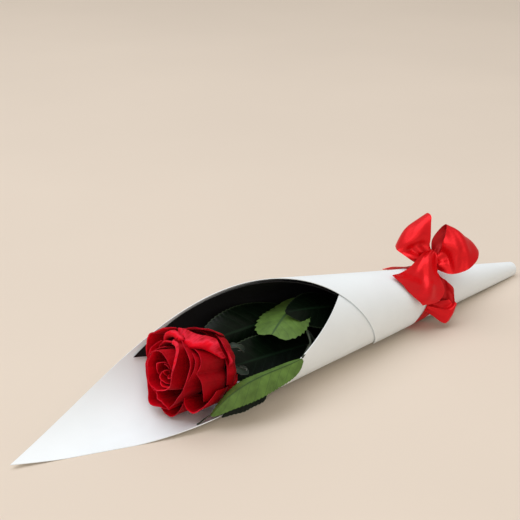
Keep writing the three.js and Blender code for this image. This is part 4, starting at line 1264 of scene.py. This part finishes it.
def bake_nodes(holder, tree, values, name):
    """Runs a node tree on an object and keeps the result as a plain mesh object."""
    modifier = holder.modifiers.new(tree.name, "NODES")
    modifier.node_group = tree
    for item in tree.interface.items_tree:
        if item.in_out == "INPUT" and item.name in values:
            modifier[item.identifier] = values[item.name]
    graph = bpy.context.evaluated_depsgraph_get()
    mesh = bpy.data.meshes.new_from_object(holder.evaluated_get(graph), depsgraph=graph)
    bpy.data.objects.remove(holder)
    mesh.name = name
    mesh.polygons.foreach_set("use_smooth", [True] * len(mesh.polygons))
    return new_object(name, mesh)


def join_meshes(name, pieces):
    """Several made meshes as one object."""
    with bpy.context.temp_override(active_object=pieces[0], selected_editable_objects=pieces):
        bpy.ops.object.join()
    pieces[0].name = name
    return pieces[0]


def stem_points():
    """The stem's route, from inside the bloom to the cone's narrow end."""
    neck = [bloom_point(np.array(float(t)), np.array(float(r)), np.array(float(h)))
            for t, r, h in STEM_NECK]
    return np.array([*neck, *np.array(STEM_ROUTE, float)])


class ROSE_OT_stem(bpy.types.Operator):
    """Grows the stem, its stalks and thorns, and the cup with its sepals."""

    bl_idname = "rose.grow_stem"
    bl_label = "Stem"

    def execute(self, context):
        rose = context.scene.rose_plant
        bark = stem_skin("green_rose_bark", linear("#243020"))
        rod = rod_tree(bark)
        route = curve_through(stem_points(), STEM_STEPS)
        radii = np.full(len(route), rose.stem_radius / MM)
        rods = [bake_nodes(curve_object("stem", route, radii), rod, {"Sides": STEM_SIDES},
                           "stem_main")]
        thorns = thorn_points(route, rose.stem_radius / MM)
        rods.append(bake_nodes(thorns, thorn_tree(bark), {"Length": THORN_LENGTH * MM},
                               "stem_thorns"))
        for number, (radius, points) in enumerate(STALKS):
            route = curve_through(points, STALK_STEPS)
            holder = curve_object("stalk", route, np.linspace(*STALK_TAPER, len(route)) * radius)
            rods.append(bake_nodes(holder, rod, {"Sides": STALK_SIDES}, f"stalk_{number}"))
        finish_piece(join_meshes("rose_stem", rods), "leafy_stem")
        green = leaf_skin("sepal_green", linear("#2C3A30"), linear("#3A463C"), linear("#726C66"),
                          0.6, 0.3, 0.4)
        cup = sheets([cup_grid()], CUP_WALL, closed=True)
        make_piece("rose_cup", cup, [green], "leafy_stem")
        sepals = [sepal_grid(spine, k) for k, spine in enumerate(SEPALS)]
        make_piece("rose_sepals", sheets(sepals, SEPAL_THICKNESS), [green], "leafy_stem")
        return {"FINISHED"}


class ROSE_OT_leaves(bpy.types.Operator):
    """Cuts the toothed leaflets."""

    bl_idname = "rose.grow_leaves"
    bl_label = "Leaves"

    def execute(self, context):
        rose = context.scene.rose_plant
        upper = leaf_skin("leaf_upper_wax", tuple(rose.leaf_colour), linear("#142618"),
                          linear("#465640"), 0.36, 0.14, -0.5)
        under = leaf_skin("leaf_underside", tuple(rose.underleaf_colour), linear("#36522A"),
                          linear("#4A6A30"), 0.6, 0.3, 0.8)
        for name, leaf in LEAFLETS.items():
            grid, rib = leaf_grid(leaf)
            shape = sheets([grid], rose.leaf_thickness / MM, ridge=rib * 0.5)
            make_piece(name, shape, [upper, under], "leafy_stem")
        return {"FINISHED"}


# ---------- panel and run ----------


class ROSE_PT_panel(bpy.types.Panel):
    """Lists the steps that make the rose, in order."""

    bl_idname = "ROSE_PT_panel"
    bl_label = "Rose in a paper cone"
    bl_space_type = "VIEW_3D"
    bl_region_type = "UI"
    bl_category = "Rose"

    def draw(self, context):
        scene = context.scene
        for settings in (scene.rose_stage, scene.rose_paper, scene.rose_ribbon, scene.rose_plant):
            box = self.layout.box()
            for name in settings.__annotations__:
                box.prop(settings, name)
        for operator in OPERATORS:
            self.layout.operator(operator.bl_idname)


SETTINGS = {"rose_stage": StageSettings, "rose_paper": PaperSettings,
            "rose_ribbon": RibbonSettings, "rose_plant": RoseSettings}
OPERATORS = (ROSE_OT_stage, ROSE_OT_paper, ROSE_OT_ribbon, ROSE_OT_bloom, ROSE_OT_stem,
             ROSE_OT_leaves)


def register():
    for name, group in SETTINGS.items():
        bpy.utils.register_class(group)
        setattr(bpy.types.Scene, name, bpy.props.PointerProperty(type=group))
    for item in (*OPERATORS, ROSE_PT_panel):
        bpy.utils.register_class(item)


def unregister():
    for item in reversed((*OPERATORS, ROSE_PT_panel)):
        bpy.utils.unregister_class(item)
    for name, group in SETTINGS.items():
        delattr(bpy.types.Scene, name)
        bpy.utils.unregister_class(group)


def main():
    register()
    bpy.ops.rose.make_stage()
    bpy.ops.rose.roll_paper()
    bpy.ops.rose.tie_ribbon()
    bpy.ops.rose.open_bloom()
    bpy.ops.rose.grow_stem()
    bpy.ops.rose.grow_leaves()


if __name__ == "__main__":
    main()
